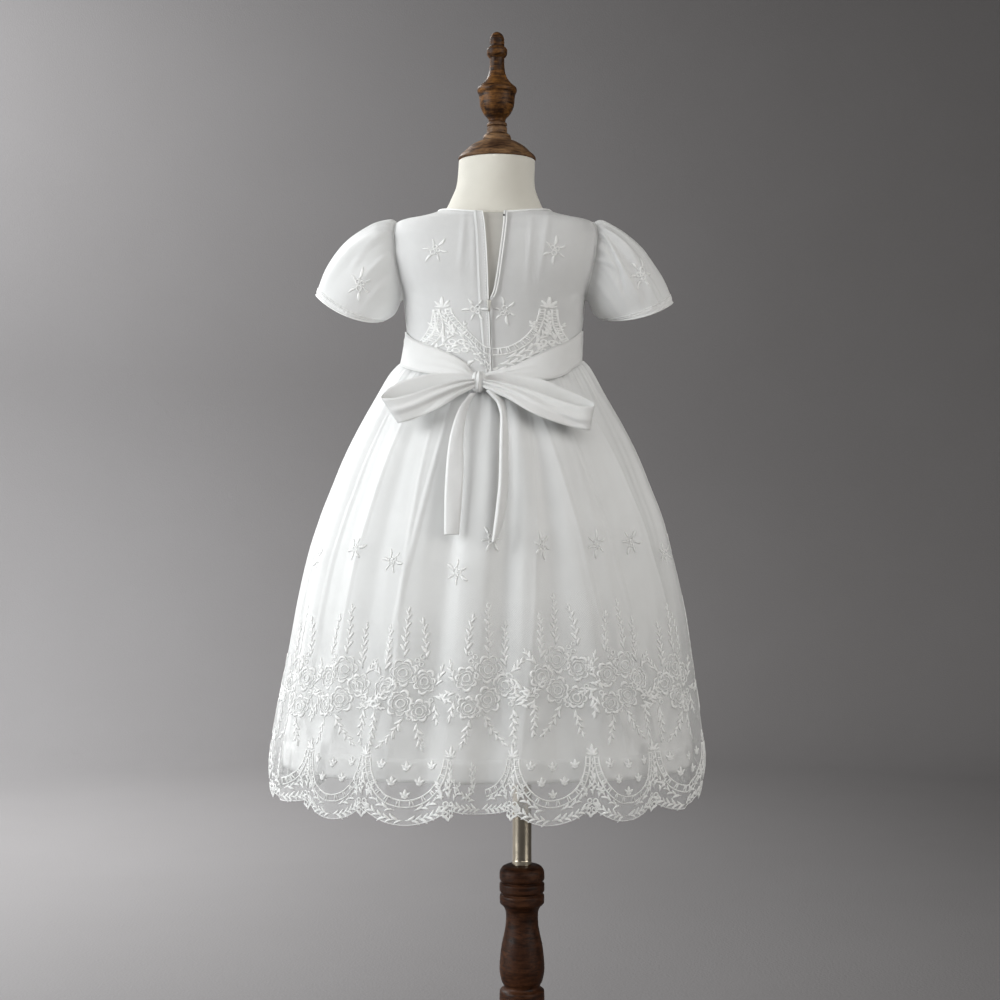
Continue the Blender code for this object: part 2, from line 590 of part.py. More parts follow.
def make_front_panel():
    half = FRONT_COLUMNS // 2 + 1
    right = neck_and_shoulder(half, 1, 1, math.pi / 2)
    left = neck_and_shoulder(half, -1, 1, math.pi / 2)
    low = waist_edge(np.linspace(0, math.pi, 2 * half - 1))
    high = np.concatenate([right[::-1], left[1:]])
    panel("bodice_front", blended(low, high, side_edge(1, 1), side_edge(-1, 1)), True)


def back_heights():
    """Heights of the back panels' rows at the centre back, shared by the strips that lie there."""
    return np.linspace(waist_height(0.0) + BODICE_LIFT, NECK_BACK, PANEL_ROWS)


def back_strip(name, first_row, left, right, inside, columns):
    """A narrow strip up the centre back, between two offsets from the middle."""
    heights = back_heights()[first_row:]
    shares = np.linspace(0, 1, columns)
    offset = left(heights)[:, None] * (1 - shares) + right(heights)[:, None] * shares
    angle = edge_angle(heights[:, None], offset)
    level = level_at(heights)[:, None]
    outer = moved_out(level, angle, inside + STRIP)
    return wall(name, outer, moved_out(level, angle, inside), "white_tulle", False)


def make_opening():
    opening = table(OPENING, OPENING_ROWS)

    def column(name):
        return lambda height: smooth(height, opening["height"], opening[name])

    left, right, width = column("left_edge"), column("right_edge"), column("placket")
    on_panel = EASE + CLOTH + LAID_ON
    back_strip("placket_left", 1, lambda h: left(h) - width(h), left, on_panel, 4)
    back_strip("zip_tape_right", 1, right, lambda h: right(h) + ZIP_TAPE, on_panel, 3)
    back_strip("zip_underlap", UNDERLAP_FIRST_ROW, lambda h: left(h) - UNDERLAP_MARGIN,
               lambda h: right(h) + UNDERLAP_MARGIN, LAID_ON, 6)
    make_slider(left(np.array([SLIDER_HEIGHT]))[0])


def make_slider(offset):
    """The zip's slider, a rounded block in front of the place where the opening closes."""
    angle = edge_angle(np.array([SLIDER_HEIGHT]), offset)
    place = moved_out(level_at(SLIDER_HEIGHT), angle, EASE + CLOTH + LAID_ON + STRIP)[0]
    place[1] -= SLIDER_SIZE[1] / 2 + LAID_ON
    shape = bmesh.new()
    bmesh.ops.create_cube(shape, size=1.0)
    bmesh.ops.scale(shape, vec=SLIDER_SIZE, verts=shape.verts)
    bmesh.ops.bevel(shape, geom=shape.edges[:], offset=SLIDER_ROUND, segments=1, affect="EDGES")
    bmesh.ops.translate(shape, vec=place, verts=shape.verts)
    mesh = bpy.data.meshes.new("zip_slider")
    shape.to_mesh(mesh)
    shape.free()
    mesh.materials.append(make_material("zip_metal"))
    bpy.context.scene.collection.objects.link(bpy.data.objects.new("zip_slider", mesh))


# ---------------------------------------------------------------- sleeves
def armhole_ring(side):
    """Points round an armhole just inside the bodice's edge, from the top round by the back."""
    half = SLEEVE_COLUMNS // 2 + 1
    back = armhole_edge(half, side, -1)[::-1]
    front = armhole_edge(half, side, 1)
    loop = np.concatenate([back, front[1:-1]])
    points = moved_out(loop[:, 1], loop[:, 0], EASE + CLOTH)
    centre = points.mean(axis=0)
    inward = centre - points
    inward[:, 0] = 0
    inward /= np.linalg.norm(inward, axis=1, keepdims=True)
    return points + inward * ARMHOLE_INSET + np.array([side * 2 * SEAM, 0, 0])


def sleeve_folds(name, share, turn):
    """How far the sleeve's cloth stands out: its long folds, and gathers that fade from the head."""
    folds = table(SLEEVE_FOLD, SLEEVE_FOLD_ROWS[name])
    rise = np.zeros(np.broadcast(share, turn).shape)
    for start, end, half_width, height, length in zip(*folds.values()):
        crest = start + (end - start) * share
        fade = np.sin(np.clip(share / length, 0, 1) * math.pi) ** 0.7
        rise += height * fade * bump(around(turn - crest), half_width)
    head = np.clip(1 - np.abs(around(turn)) / 110, 0, 1)
    gathers = 0.5 + 0.5 * np.cos(np.radians(turn) * SLEEVE_GATHERS)
    return rise + SLEEVE_GATHER_RISE * gathers * head * share * np.exp(1 - share / 0.09) / 0.09


def make_sleeve(name, side):
    lines = table(SLEEVE, SLEEVE_ROWS[name])
    stations = np.linspace(0, 1, len(lines["top_x"]))
    share = np.linspace(0, 1, SLEEVE_RINGS) ** 1.25
    turn = np.linspace(0, 360, SLEEVE_COLUMNS, endpoint=False)[None, :]
    run = {key: smooth(share, stations, value)[:, None] for key, value in lines.items()}
    along = np.cos(np.radians(turn))
    across = np.sin(np.radians(turn))
    x = (run["top_x"] + run["low_x"]) / 2 + (run["top_x"] - run["low_x"]) / 2 * along
    z = ((run["top_z"] + run["low_z"]) / 2 + (run["top_z"] - run["low_z"]) / 2 * along
         - run["sag"] * across ** 2)
    points = np.stack([x, -run["half_depth"] * across, z], axis=-1)
    points += (armhole_ring(side) - points[0]) * ((1 - share[:, None, None]) ** 3)
    points += side * grid_normals(points, True) * sleeve_folds(name, share[:, None], turn)[..., None]
    inner = points - SLEEVE_WALL * side * grid_normals(points, True)
    wall("sleeve_" + name, points, inner, "white_tulle", True)


# ---------------------------------------------------------------- skirt
def skirt_folds(turn, drop):
    """How far the overlay stands out at a turn in degrees and a drop below the seam."""
    rise = np.zeros(np.broadcast(turn, drop).shape)
    growth = 0.15 + 0.85 * np.clip(drop / FOLD_GROWTH, 0, 1)
    for waist_turn, hem_turn, half_width, height in FOLD_ROWS:
        crest = waist_turn + (hem_turn - waist_turn) * drop / (WAIST - HEM)
        rise += height * growth * bump(around(turn - crest), half_width)
    return rise


def skirt_gathers(turn, drop):
    """Fine gathers that fade below the waist seam."""
    wave = 0.5 + 0.5 * np.cos(np.radians(turn) * GATHERS)
    return GATHER_RISE * wave * np.exp(-(drop / GATHER_DROP) ** 2)


def hem_height(turn):
    """Height of the overlay's scalloped hem."""
    scallops = table(SCALLOP, SCALLOP_ROWS)
    start = scallops["start_turn"]
    ends = np.append(start, start[0] + 360)
    turn = (turn - start[0]) % 360 + start[0]
    cell = np.clip(np.searchsorted(ends, turn, side="right") - 1, 0, len(start) - 1)
    share = (turn - ends[cell]) / (ends[cell + 1] - ends[cell])
    return HEM + scallops["depth"].max() - scallops["depth"][cell] * np.sin(math.pi * share) ** 0.8


def skirt_points(turn, drop, inset, folds):
    """Points of a skirt layer that lies inside the skirt's sections by an inset."""
    sections = table(SKIRT, SKIRT_ROWS)
    middle, half_width, half_depth = (smooth(drop, sections["drop"], sections[name])
                                      for name in SKIRT[1:])
    turn_angle = np.radians(turn)
    out = folds - inset
    height = waist_height(turn_angle) - drop
    return np.stack([middle + (half_width + out) * np.sin(turn_angle),
                     -(half_depth + out) * np.cos(turn_angle), height], axis=-1)


def make_skirt():
    turn = np.linspace(-180, 180, OVERLAY_COLUMNS, endpoint=False)[None, :]
    seam = waist_height(np.radians(turn))
    drop = np.array(OVERLAY_ROWS)[:, None] * (seam - hem_height(turn))
    rise = skirt_folds(turn, drop) + skirt_gathers(turn, drop)
    outer = skirt_points(turn, drop, 0.0, rise)
    wall("skirt_overlay", outer, outer + CLOTH * grid_normals(outer, True), "white_tulle", True)

    turn = np.linspace(-180, 180, LINING_COLUMNS, endpoint=False)[None, :]
    seam = waist_height(np.radians(turn))
    drop = np.array(LINING_ROWS)[:, None] * (seam - LINING_HEM)
    inset = LINING_INSET_TOP + (LINING_INSET_LOW - LINING_INSET_TOP) * np.clip(drop / 0.12, 0, 1)
    outer = skirt_points(turn, drop, inset, LINING_FOLDS * skirt_folds(turn, drop))
    wall("skirt_lining", outer, outer + CLOTH * grid_normals(outer, True), "ivory_lining", True)


def skirt_back(x, z):
    """y of the back of the skirt, over its highest folds, at a place seen from behind."""
    sections = table(SKIRT, SKIRT_ROWS)
    drop = np.maximum(WAIST - WAIST_DIP_BACK - z, 0)
    for _ in range(3):
        middle, half_width, half_depth = (smooth(drop, sections["drop"], sections[name])
                                          for name in SKIRT[1:])
        side = np.clip((x - middle) / half_width, -0.97, 0.97)
        drop = np.maximum(waist_height(np.arcsin(side)) - z, 0)
    return -half_depth * np.sqrt(1 - side ** 2)


# ---------------------------------------------------------------- sash and bow
def make_sash():
    bands = table(SASH, SASH_ROWS)
    sections = table(SKIRT, SKIRT_ROWS)
    turn = np.linspace(bands["turn"][0], bands["turn"][-1], SASH_COLUMNS)
    upper = smooth(turn, bands["turn"], bands["upper"])
    lower = smooth(turn, bands["turn"], bands["lower"])
    below = waist_height(np.radians(turn)) - lower
    drop = np.maximum(below, 0)
    level = level_at(upper)
    body = {name: smooth(level, BODY_LEVEL, BODY_TABLE[name]) for name in BODY}
    top_out = EASE + CLOTH + SASH_TOP_CLEAR
    over_skirt = np.clip((below + SASH_OVERLAP) / SASH_OVERLAP, 0, 1)
    low_out = SASH_SIDE_CLEAR + (SASH_LOW_CLEAR - SASH_SIDE_CLEAR) * over_skirt
    low = {name: smooth(drop, sections["drop"], sections[name]) for name in SKIRT}
    sine, cosine = np.sin(np.radians(turn)), np.cos(np.radians(turn))
    rows = []
    for share in (0.0, 0.35, 0.7, 1.0):
        middle = body["middle"] * (1 - share) + low["middle"] * share
        wide = (body["half_width"] + top_out) * (1 - share) + (low["half_width"] + low_out) * share
        deep = (body["half_depth"] + top_out) * (1 - share) + (low["half_depth"] + low_out) * share
        height = upper * (1 - share) + lower * share
        rows.append(np.stack([middle + wide * sine, -deep * cosine, height], axis=-1))
    outer = np.stack(rows)
    wall("sash", outer, outer + RIBBON * grid_normals(outer, False), "satin_ribbon", False)


def make_knot():
    """The knot: a small block of ribbon, pleated upright, round at its corners."""
    turn = np.linspace(0, 2 * math.pi, KNOT_SIDES, endpoint=False)
    pleat = 1 + KNOT_PLEAT_RISE * np.cos(turn * KNOT_PLEATS)
    sections = table(KNOT_SECTION, KNOT_ROWS)
    share = sections["share"][:, None]
    height = KNOT[2] + KNOT_HALF[2] * sections["height"][:, None] + np.zeros(KNOT_SIDES)
    rings = np.stack([KNOT[0] + KNOT_HALF[0] * share * np.cos(turn),
                      KNOT[1] + KNOT_HALF[1] * share * pleat * np.sin(turn), height], axis=-1)
    stacked_solid("bow_knot", rings, "satin_ribbon")


def make_loop(name):
    rows = table(LOOP, LOOP_ROWS[name])
    stations = np.linspace(0, 1, len(rows["out"]))
    share = np.linspace(0, 1, LOOP_COLUMNS)
    run = {key: smooth(share, stations, value) for key, value in rows.items()}
    lines = []
    for across in (0.0, 0.33, 0.67, 1.0):
        x = KNOT[0] + run["upper_x"] * (1 - across) + run["lower_x"] * across
        z = KNOT[2] + run["upper_z"] * (1 - across) + run["lower_z"] * across
        inner_leaf = np.minimum(skirt_back(x, z) - LOOP_CLEAR, KNOT[1] + 0.002)
        lines.append(np.stack([x, inner_leaf - run["out"], z], axis=-1))
    outer = np.stack(lines)
    half = RIBBON / 2 * grid_normals(outer, False)
    wall("bow_loop_" + name, outer + half, outer - half, "satin_ribbon", False)


def make_tail(name):
    rows = table(TAIL, TAIL_ROWS[name])
    lines = []
    for across in (0.0, 0.5, 1.0):
        x = rows["left_x"] * (1 - across) + rows["right_x"] * across
        out = rows["left_out"] * (1 - across) + rows["right_out"] * across
        y = np.minimum(skirt_back(x, rows["height"]) - TAIL_CLEAR, KNOT[1] + 0.004) - out
        lines.append(np.stack([x, y, rows["height"]], axis=-1))
    outer = np.stack(lines, axis=1)
    half = RIBBON / 2 * grid_normals(outer, False)
    wall("bow_tail_" + name, outer + half, outer - half, "satin_ribbon", False)


def main():
    for thing in list(bpy.data.objects):
        bpy.data.objects.remove(thing)
    make_stand()
    make_form()
    make_front_panel()
    make_back_panels()
    make_opening()
    make_sleeve("left", -1)
    make_sleeve("right", 1)
    make_skirt()
    make_sash()
    make_knot()
    for name in ("left", "right"):
        make_loop(name)
        make_tail(name)


main()
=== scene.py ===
"""Christening gown on a limbless dress form: its looks, in metres, +Z up.

-Y is the gown's back, with the zip opening and the bow, +Y its front, -X the wearer's left. Each cloth is
a function of two places on it, drawn on a fine grid. The embroidery is drawn flat as raised strokes of
thread, and then laid on those same functions, so it follows every fold.
"""
import math

import bpy
import numpy as np
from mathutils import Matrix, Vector


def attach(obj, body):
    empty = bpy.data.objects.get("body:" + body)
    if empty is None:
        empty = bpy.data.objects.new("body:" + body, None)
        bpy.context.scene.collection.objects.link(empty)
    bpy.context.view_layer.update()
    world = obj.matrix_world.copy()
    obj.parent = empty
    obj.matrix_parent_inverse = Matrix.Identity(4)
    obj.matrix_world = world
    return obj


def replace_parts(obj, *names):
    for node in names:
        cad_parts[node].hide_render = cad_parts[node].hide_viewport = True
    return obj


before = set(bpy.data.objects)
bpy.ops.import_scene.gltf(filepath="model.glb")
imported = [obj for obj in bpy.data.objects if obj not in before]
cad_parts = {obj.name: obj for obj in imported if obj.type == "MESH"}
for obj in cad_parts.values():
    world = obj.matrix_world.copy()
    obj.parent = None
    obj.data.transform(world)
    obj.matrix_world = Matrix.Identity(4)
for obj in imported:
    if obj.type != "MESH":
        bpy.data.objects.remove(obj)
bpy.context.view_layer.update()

# ---------------------------------------------------------------- form and bodice sizes
BODY = ("height", "middle", "half_width", "half_depth", "fullness")
BODY_ROWS = (
    (0.6120, -0.0270, 0.0860, 0.0620, 2.00),
    (0.6170, -0.0270, 0.0950, 0.0690, 2.00),
    (0.6400, -0.0270, 0.1000, 0.0730, 2.00),
    (0.6900, -0.0270, 0.0970, 0.0710, 2.00),
    (0.7400, -0.0272, 0.0885, 0.0645, 2.00),
    (0.7780, -0.0278, 0.0833, 0.0610, 2.00),
    (0.8000, -0.0278, 0.0834, 0.0603, 2.00),
    (0.8200, -0.0277, 0.0852, 0.0605, 2.05),
    (0.8400, -0.0275, 0.0876, 0.0610, 2.12),
    (0.8650, -0.0272, 0.0970, 0.0605, 2.30),
    (0.8850, -0.0268, 0.1008, 0.0582, 2.40),
    (0.9000, -0.0266, 0.1010, 0.0535, 2.40),
    (0.9080, -0.0266, 0.0990, 0.0490, 2.35),
    (0.9145, -0.0268, 0.0950, 0.0455, 2.25),
    (0.9178, -0.0268, 0.0805, 0.0430, 2.10),
    (0.9213, -0.0270, 0.0655, 0.0415, 2.00),
    (0.9246, -0.0272, 0.0562, 0.0406, 2.00),
    (0.9290, -0.0273, 0.0508, 0.0400, 2.00),
    (0.9345, -0.0272, 0.0472, 0.0396, 2.00),
    (0.9400, -0.0271, 0.0448, 0.0393, 2.00),
    (0.9460, -0.0269, 0.0422, 0.0391, 2.00),
    (0.9520, -0.0265, 0.0402, 0.0390, 2.00),
    (0.9600, -0.0260, 0.0392, 0.0389, 2.00),
    (0.9787, -0.0250, 0.0388, 0.0388, 2.00),
)
FORM_INSET = 0.0008              # how far the form's cover lies inside its surface
EASE = 0.0019                    # from the form out to the bodice
CLOTH = 0.0012
LAID_ON = 0.0004
STRIP = 0.0010
WAIST = 0.7790
WAIST_DIP_BACK = 0.0200
WAIST_DIP_FRONT = 0.0060
BODICE_LIFT = 0.0008
NECK_SIDE = 0.9256
NECK_BACK = 0.9200
NECK_FRONT = 0.9030
SHOULDER_TIP = 0.9144
UNDERARM = 0.8400
ARMHOLE_BACK = 0.0250
ARMHOLE_FRONT = 0.0320
ARMHOLE_INSET = 0.0012
SEAM = 0.0003

OPENING = ("height", "left_edge", "right_edge", "placket")
OPENING_ROWS = (
    (0.7500, -0.0026, -0.0020, 0.0055), (0.7700, -0.0030, -0.0024, 0.0062), (0.7900, -0.0034, -0.0028, 0.0082),
    (0.8120, -0.0042, -0.0036, 0.0096), (0.8320, -0.0052, -0.0046, 0.0104), (0.8420, -0.0058, -0.0010, 0.0106),
    (0.8600, -0.0067, 0.0022, 0.0108), (0.8900, -0.0090, 0.0060, 0.0106), (0.9100, -0.0112, 0.0084, 0.0104),
    (0.9250, -0.0136, 0.0096, 0.0096),
)
ZIP_TAPE = 0.0040
UNDERLAP_START = 0.8134
UNDERLAP_MARGIN = 0.0050
SLIDER_HEIGHT = 0.8290

# Soft creases of the bodice's back: where each starts and ends, its half width and its height.
CREASE = ("x0", "z0", "x1", "z1", "half_width", "rise")
BACK_CREASE_ROWS = (
    (-0.0560, 0.918, -0.0600, 0.862, 0.0050, 0.0010), (-0.0480, 0.912, -0.0470, 0.850, 0.0040, 0.0006),
    (0.0080, 0.912, 0.0040, 0.850, 0.0045, 0.0009), (0.0250, 0.920, 0.0150, 0.852, 0.0055, 0.0012),
    (-0.1120, 0.846, -0.0880, 0.826, 0.0050, 0.0008), (0.0590, 0.846, 0.0380, 0.828, 0.0050, 0.0008),
    (-0.1060, 0.830, -0.0860, 0.818, 0.0040, 0.0006), (0.0540, 0.832, 0.0330, 0.820, 0.0040, 0.0006),
)
FRONT_CREASE_ROWS = (
    (-0.1100, 0.846, -0.0800, 0.830, 0.0055, 0.0009), (0.0560, 0.846, 0.0280, 0.831, 0.0055, 0.0009),
    (-0.0620, 0.896, -0.0640, 0.850, 0.0060, 0.0007), (0.0080, 0.897, 0.0110, 0.852, 0.0060, 0.0007),
    (-0.1060, 0.812, -0.0900, 0.796, 0.0045, 0.0006), (0.0500, 0.812, 0.0350, 0.797, 0.0045, 0.0006),
)

# ---------------------------------------------------------------- sleeve sizes
SLEEVE = ("top_x", "top_z", "low_x", "low_z", "half_depth", "sag")
SLEEVE_ROWS = {
    "left": (
        (-0.1240, 0.9175, -0.1184, 0.8425, 0.0290, 0.0000),
        (-0.1310, 0.9203, -0.1214, 0.8396, 0.0325, 0.0000),
        (-0.1430, 0.9185, -0.1230, 0.8352, 0.0355, 0.0004),
        (-0.1590, 0.9105, -0.1244, 0.8310, 0.0372, 0.0010),
        (-0.1750, 0.8990, -0.1262, 0.8274, 0.0378, 0.0020),
        (-0.1880, 0.8840, -0.1290, 0.8243, 0.0372, 0.0032),
        (-0.1975, 0.8680, -0.1325, 0.8216, 0.0360, 0.0044),
        (-0.2028, 0.8540, -0.1370, 0.8195, 0.0345, 0.0054),
        (-0.2052, 0.8450, -0.1425, 0.8188, 0.0335, 0.0060),
    ),
    "right": (
        (0.0715, 0.9172, 0.0644, 0.8425, 0.0290, 0.0000),
        (0.0795, 0.9195, 0.0674, 0.8390, 0.0325, 0.0000),
        (0.0920, 0.9140, 0.0688, 0.8345, 0.0355, 0.0004),
        (0.1070, 0.9040, 0.0702, 0.8304, 0.0372, 0.0010),
        (0.1205, 0.8915, 0.0718, 0.8266, 0.0378, 0.0020),
        (0.1320, 0.8755, 0.0740, 0.8242, 0.0372, 0.0028),
        (0.1410, 0.8615, 0.0765, 0.8222, 0.0360, 0.0036),
        (0.1470, 0.8480, 0.0800, 0.8210, 0.0345, 0.0042),
        (0.1502, 0.8375, 0.0855, 0.8208, 0.0335, 0.0045),
    ),
}
# Folds and creases of a sleeve: where each starts and ends as share and turn, its half width and its
# height. The first four are its large ones.
SLEEVE_CREASE_ROWS = {
    "left": (
        (0, 62, 0.92, 33, 17, 0.0026), (0, 104, 0.75, 79, 18, 0.0018), (0, -50, 0.85, -33, 18, 0.0024),
        (0, -95, 0.80, -79, 20, 0.0018), (0.02, 47, 0.66, 70, 9, 0.0009), (0, 84, 0.55, 88, 6, 0.0009),
        (0, 22, 0.70, 15, 8, 0.0007), (0, 118, 0.90, 109, 8, 0.0008), (0, -22, 0.70, -16, 8, 0.0008),
        (0, -72, 0.60, -65, 8, 0.0009),
    ),
    "right": (
        (0, 42, 0.95, 65, 14, 0.0030), (0, 74, 0.80, 88, 14, 0.0026), (0, -60, 0.85, -41, 18, 0.0024),
        (0, -100, 0.80, -84, 20, 0.0018), (0.02, 46, 0.48, 82, 6, 0.0021), (0.30, 77, 0.88, 83, 6, 0.0016),
        (0.03, 93, 0.45, 84, 6, 0.0017), (0.03, 44, 0.48, 50, 6, 0.0017), (0.10, 64, 0.64, 98, 6, -0.0018),
        (0.62, 52, 0.99, 43, 4, 0.0009), (0.68, 61, 0.99, 55, 4, 0.0008), (0, 20, 0.75, 32, 8, 0.0008),
        (0, 92, 0.85, 104, 8, 0.0009), (0, 120, 0.90, 122, 8, 0.0008), (0, -24, 0.70, -18, 8, 0.0008),
        (0, -78, 0.60, -68, 8, 0.0009),
    ),
}
SLEEVE_GATHERS = 20
SLEEVE_GATHER_RISE = 0.0012
CUFF_TILT = 0.0050               # how far the cuff hangs lower at the back than in its middle

# ---------------------------------------------------------------- skirt sizes
SKIRT = ("drop", "middle", "half_width", "half_depth")
SKIRT_ROWS = (
    (0.000, -0.0285, 0.0876, 0.0668),
    (0.005, -0.0290, 0.0932, 0.0702),
    (0.013, -0.0300, 0.0995, 0.0745),
    (0.029, -0.0305, 0.1092, 0.0816),
    (0.061, -0.0302, 0.1280, 0.0935),
    (0.093, -0.0300, 0.1440, 0.1045),
    (0.125, -0.0300, 0.1570, 0.1135),
    (0.157, -0.0300, 0.1695, 0.1215),
    (0.189, -0.0310, 0.1788, 0.1280),
    (0.221, -0.0308, 0.1868, 0.1335),
    (0.253, -0.0308, 0.1932, 0.1375),
    (0.301, -0.0317, 0.2010, 0.1420),
    (0.349, -0.0330, 0.2092, 0.1460),
    (0.397, -0.0342, 0.2150, 0.1485),
    (0.420, -0.0355, 0.2130, 0.1480),
    (0.445, -0.0368, 0.2080, 0.1465),
)
HEM = 0.3400
FOLD = ("waist_turn", "hem_turn", "half_width", "rise")
FOLD_ROWS = (
    (-80, -84, 8, 0.0025), (-61, -64, 8, 0.0040), (-43, -45, 8, 0.0045), (-24, -29, 10, 0.0045),
    (-11, -16, 5, -0.0022), (0, -10, 9, 0.0052), (9, -2, 6, -0.0045), (13, 10, 8, 0.0035),
    (20, 18, 6, -0.0025), (24, 33, 7, 0.0055), (30, 42, 7, 0.0045), (55, 61, 8, 0.0040),
    (74, 79, 8, 0.0025), (97, 96, 9, 0.0030), (115, 117, 8, 0.0050), (132, 137, 8, 0.0045),
    (150, 153, 8, 0.0055), (163, 162, 6, -0.0040), (172, 176, 8, 0.0060), (190, 187, 8, 0.0050),
    (200, 199, 6, -0.0045), (211, 213, 8, 0.0055), (229, 226, 8, 0.0050), (246, 247, 8, 0.0045),
    (264, 262, 9, 0.0030),
    # and the narrow edges of folds that are pressed into the net
    (-72, -76, 1.5, 0.0008), (-55, -60, 1.6, 0.0010), (-42, -48, 1.5, 0.0010), (-27, -25, 1.4, 0.0008),
    (-19, -34, 1.5, 0.0012), (20, 5, 1.4, 0.0009), (22, 40, 1.5, 0.0012), (34, 52, 1.6, 0.0011),
    (50, 71, 1.5, 0.0010), (86, 90, 1.5, 0.0009), (104, 111, 1.5, 0.0011), (121, 127, 1.6, 0.0009),
    (143, 139, 1.5, 0.0011), (158, 167, 1.4, 0.0010), (182, 193, 1.5, 0.0011), (205, 200, 1.5, 0.0009),
    (222, 232, 1.6, 0.0011), (240, 244, 1.5, 0.0010), (256, 251, 1.5, 0.0008),
)
FOLD_GROWTH = 0.110
GATHERS = 36
GATHER_RISE = 0.0020
GATHER_DROP = 0.050
SCALLOP = ("start_turn", "depth")
SCALLOP_ROWS = (
    (-110, 0.0120), (-80, 0.0060), (-52, 0.0150), (-32, 0.0165), (-9, 0.0050), (6, 0.0165),
    (27, 0.0155), (47, 0.0130), (78, 0.0110), (109, 0.0140), (136, 0.0160), (159, 0.0165),
    (181, 0.0160), (204, 0.0165), (227, 0.0150),
)
LINING_HEM = 0.3780
# At the waist and at the hem: how far the lining lies inside the overlay, and its share of the folds.
LINING_INSET = (0.0019, 0.0110)
LINING_FOLDS = (0.80, 0.45)
# Fine ripples of the overlay: waves round the skirt, height, and how their phase drifts per metre down.
RIPPLE = ("waves", "rise", "drift", "phase")
RIPPLE_ROWS = ((29, 0.00035, 4.0, 0.4), (53, 0.00016, -6.0, 2.1))

# ---------------------------------------------------------------- sash and bow sizes
SASH = ("turn", "upper", "lower")
SASH_ROWS = (
    (-8.0, 0.7592, 0.7530), (-4.5, 0.7620, 0.7545), (11, 0.7682, 0.7592), (20, 0.7745, 0.7578), (30, 0.7820, 0.7566),
    (43, 0.7896, 0.7612), (56, 0.7960, 0.7700), (85, 0.8075, 0.7800), (135, 0.8080, 0.7785),
    (180, 0.8080, 0.7735), (225, 0.8080, 0.7785), (270, 0.8075, 0.7800), (297, 0.7975, 0.7706),
    (316, 0.7895, 0.7642), (331, 0.7812, 0.7610), (341, 0.7725, 0.7585), (346.0, 0.7645, 0.7565),
    (350.5, 0.7595, 0.7540),
)
SASH_TOP_CLEAR = 0.0022
SASH_SIDE_CLEAR = 0.0012
SASH_LOW_CLEAR = 0.0052
SASH_OVERLAP = 0.0010
RIBBON = 0.0011
KNOT = (-0.0424, -0.0830, 0.7525)
KNOT_HALF = (0.0061, 0.0074, 0.0100)
LOOP_CLEAR = 0.0080
TAIL_CLEAR = 0.0085
LOOP = ("upper_x", "upper_z", "lower_x", "lower_z", "out")
LOOP_ROWS = {
    "left": (
        (-0.0040, 0.0040, -0.0040, -0.0040, 0.0000),
        (-0.0200, 0.0078, -0.0180, -0.0090, 0.0004),
        (-0.0380, 0.0078, -0.0330, -0.0150, 0.0008),
        (-0.0600, 0.0042, -0.0530, -0.0220, 0.0010),
        (-0.0800, -0.0030, -0.0690, -0.0300, 0.0012),
        (-0.0895, -0.0105, -0.0750, -0.0362, 0.0030),
        (-0.0925, -0.0150, -0.0768, -0.0385, 0.0075),
        (-0.0895, -0.0170, -0.0758, -0.0393, 0.0125),
        (-0.0800, -0.0165, -0.0700, -0.0382, 0.0155),
        (-0.0640, -0.0130, -0.0560, -0.0338, 0.0160),
        (-0.0410, -0.0050, -0.0366, -0.0247, 0.0140),
        (-0.0200, 0.0005, -0.0200, -0.0140, 0.0100),
        (-0.0040, 0.0024, -0.0040, -0.0050, 0.0066),
    ),
    "right": (
        (0.0040, 0.0045, 0.0040, -0.0040, 0.0000),
        (0.0210, 0.0083, 0.0230, -0.0090, 0.0004),
        (0.0440, 0.0052, 0.0470, -0.0165, 0.0008),
        (0.0620, 0.0015, 0.0660, -0.0235, 0.0010),
        (0.0840, -0.0080, 0.0860, -0.0330, 0.0014),
        (0.1020, -0.0165, 0.1000, -0.0410, 0.0036),
        (0.1100, -0.0215, 0.1055, -0.0455, 0.0085),
        (0.1080, -0.0245, 0.1035, -0.0460, 0.0135),
        (0.0980, -0.0245, 0.0940, -0.0445, 0.0160),
        (0.0820, -0.0205, 0.0765, -0.0399, 0.0165),
        (0.0600, -0.0125, 0.0499, -0.0295, 0.0145),
        (0.0330, -0.0035, 0.0290, -0.0170, 0.0105),
        (0.0040, 0.0020, 0.0040, -0.0050, 0.0066),
    ),
}
TAIL_LIP = {"left": 0.10, "right": 0.30}    # share of a tail's width that its turned lip takes
TAIL = ("height", "left_x", "right_x", "left_out", "right_out")
TAIL_ROWS = {
    "left": (
        (0.7415, -0.0500, -0.0455, 0.0030, 0.0030),
        (0.7360, -0.0540, -0.0495, 0.0050, 0.0020),
        (0.7270, -0.0602, -0.0530, 0.0060, 0.0010),
        (0.7130, -0.0655, -0.0555, 0.0060, 0.0008),
        (0.6940, -0.0697, -0.0573, 0.0060, 0.0006),
        (0.6650, -0.0723, -0.0567, 0.0060, 0.0004),
        (0.6380, -0.0733, -0.0583, 0.0060, 0.0004),
        (0.6080, -0.0733, -0.0604, 0.0058, 0.0004),
    ),
    "right": (
        (0.7440, -0.0352, -0.0292, 0.0125, 0.0095),
        (0.7390, -0.0305, -0.0225, 0.0125, 0.0060),
        (0.7320, -0.0246, -0.0178, 0.0110, 0.0020),
        (0.7180, -0.0212, -0.0158, 0.0110, 0.0008),
        (0.6950, -0.0218, -0.0146, 0.0110, 0.0004),
        (0.6600, -0.0226, -0.0146, 0.0110, 0.0004),
        (0.6280, -0.0258, -0.0180, 0.0105, 0.0004),
        (0.6010, -0.0290, -0.0262, 0.0095, 0.0030),
    ),
}

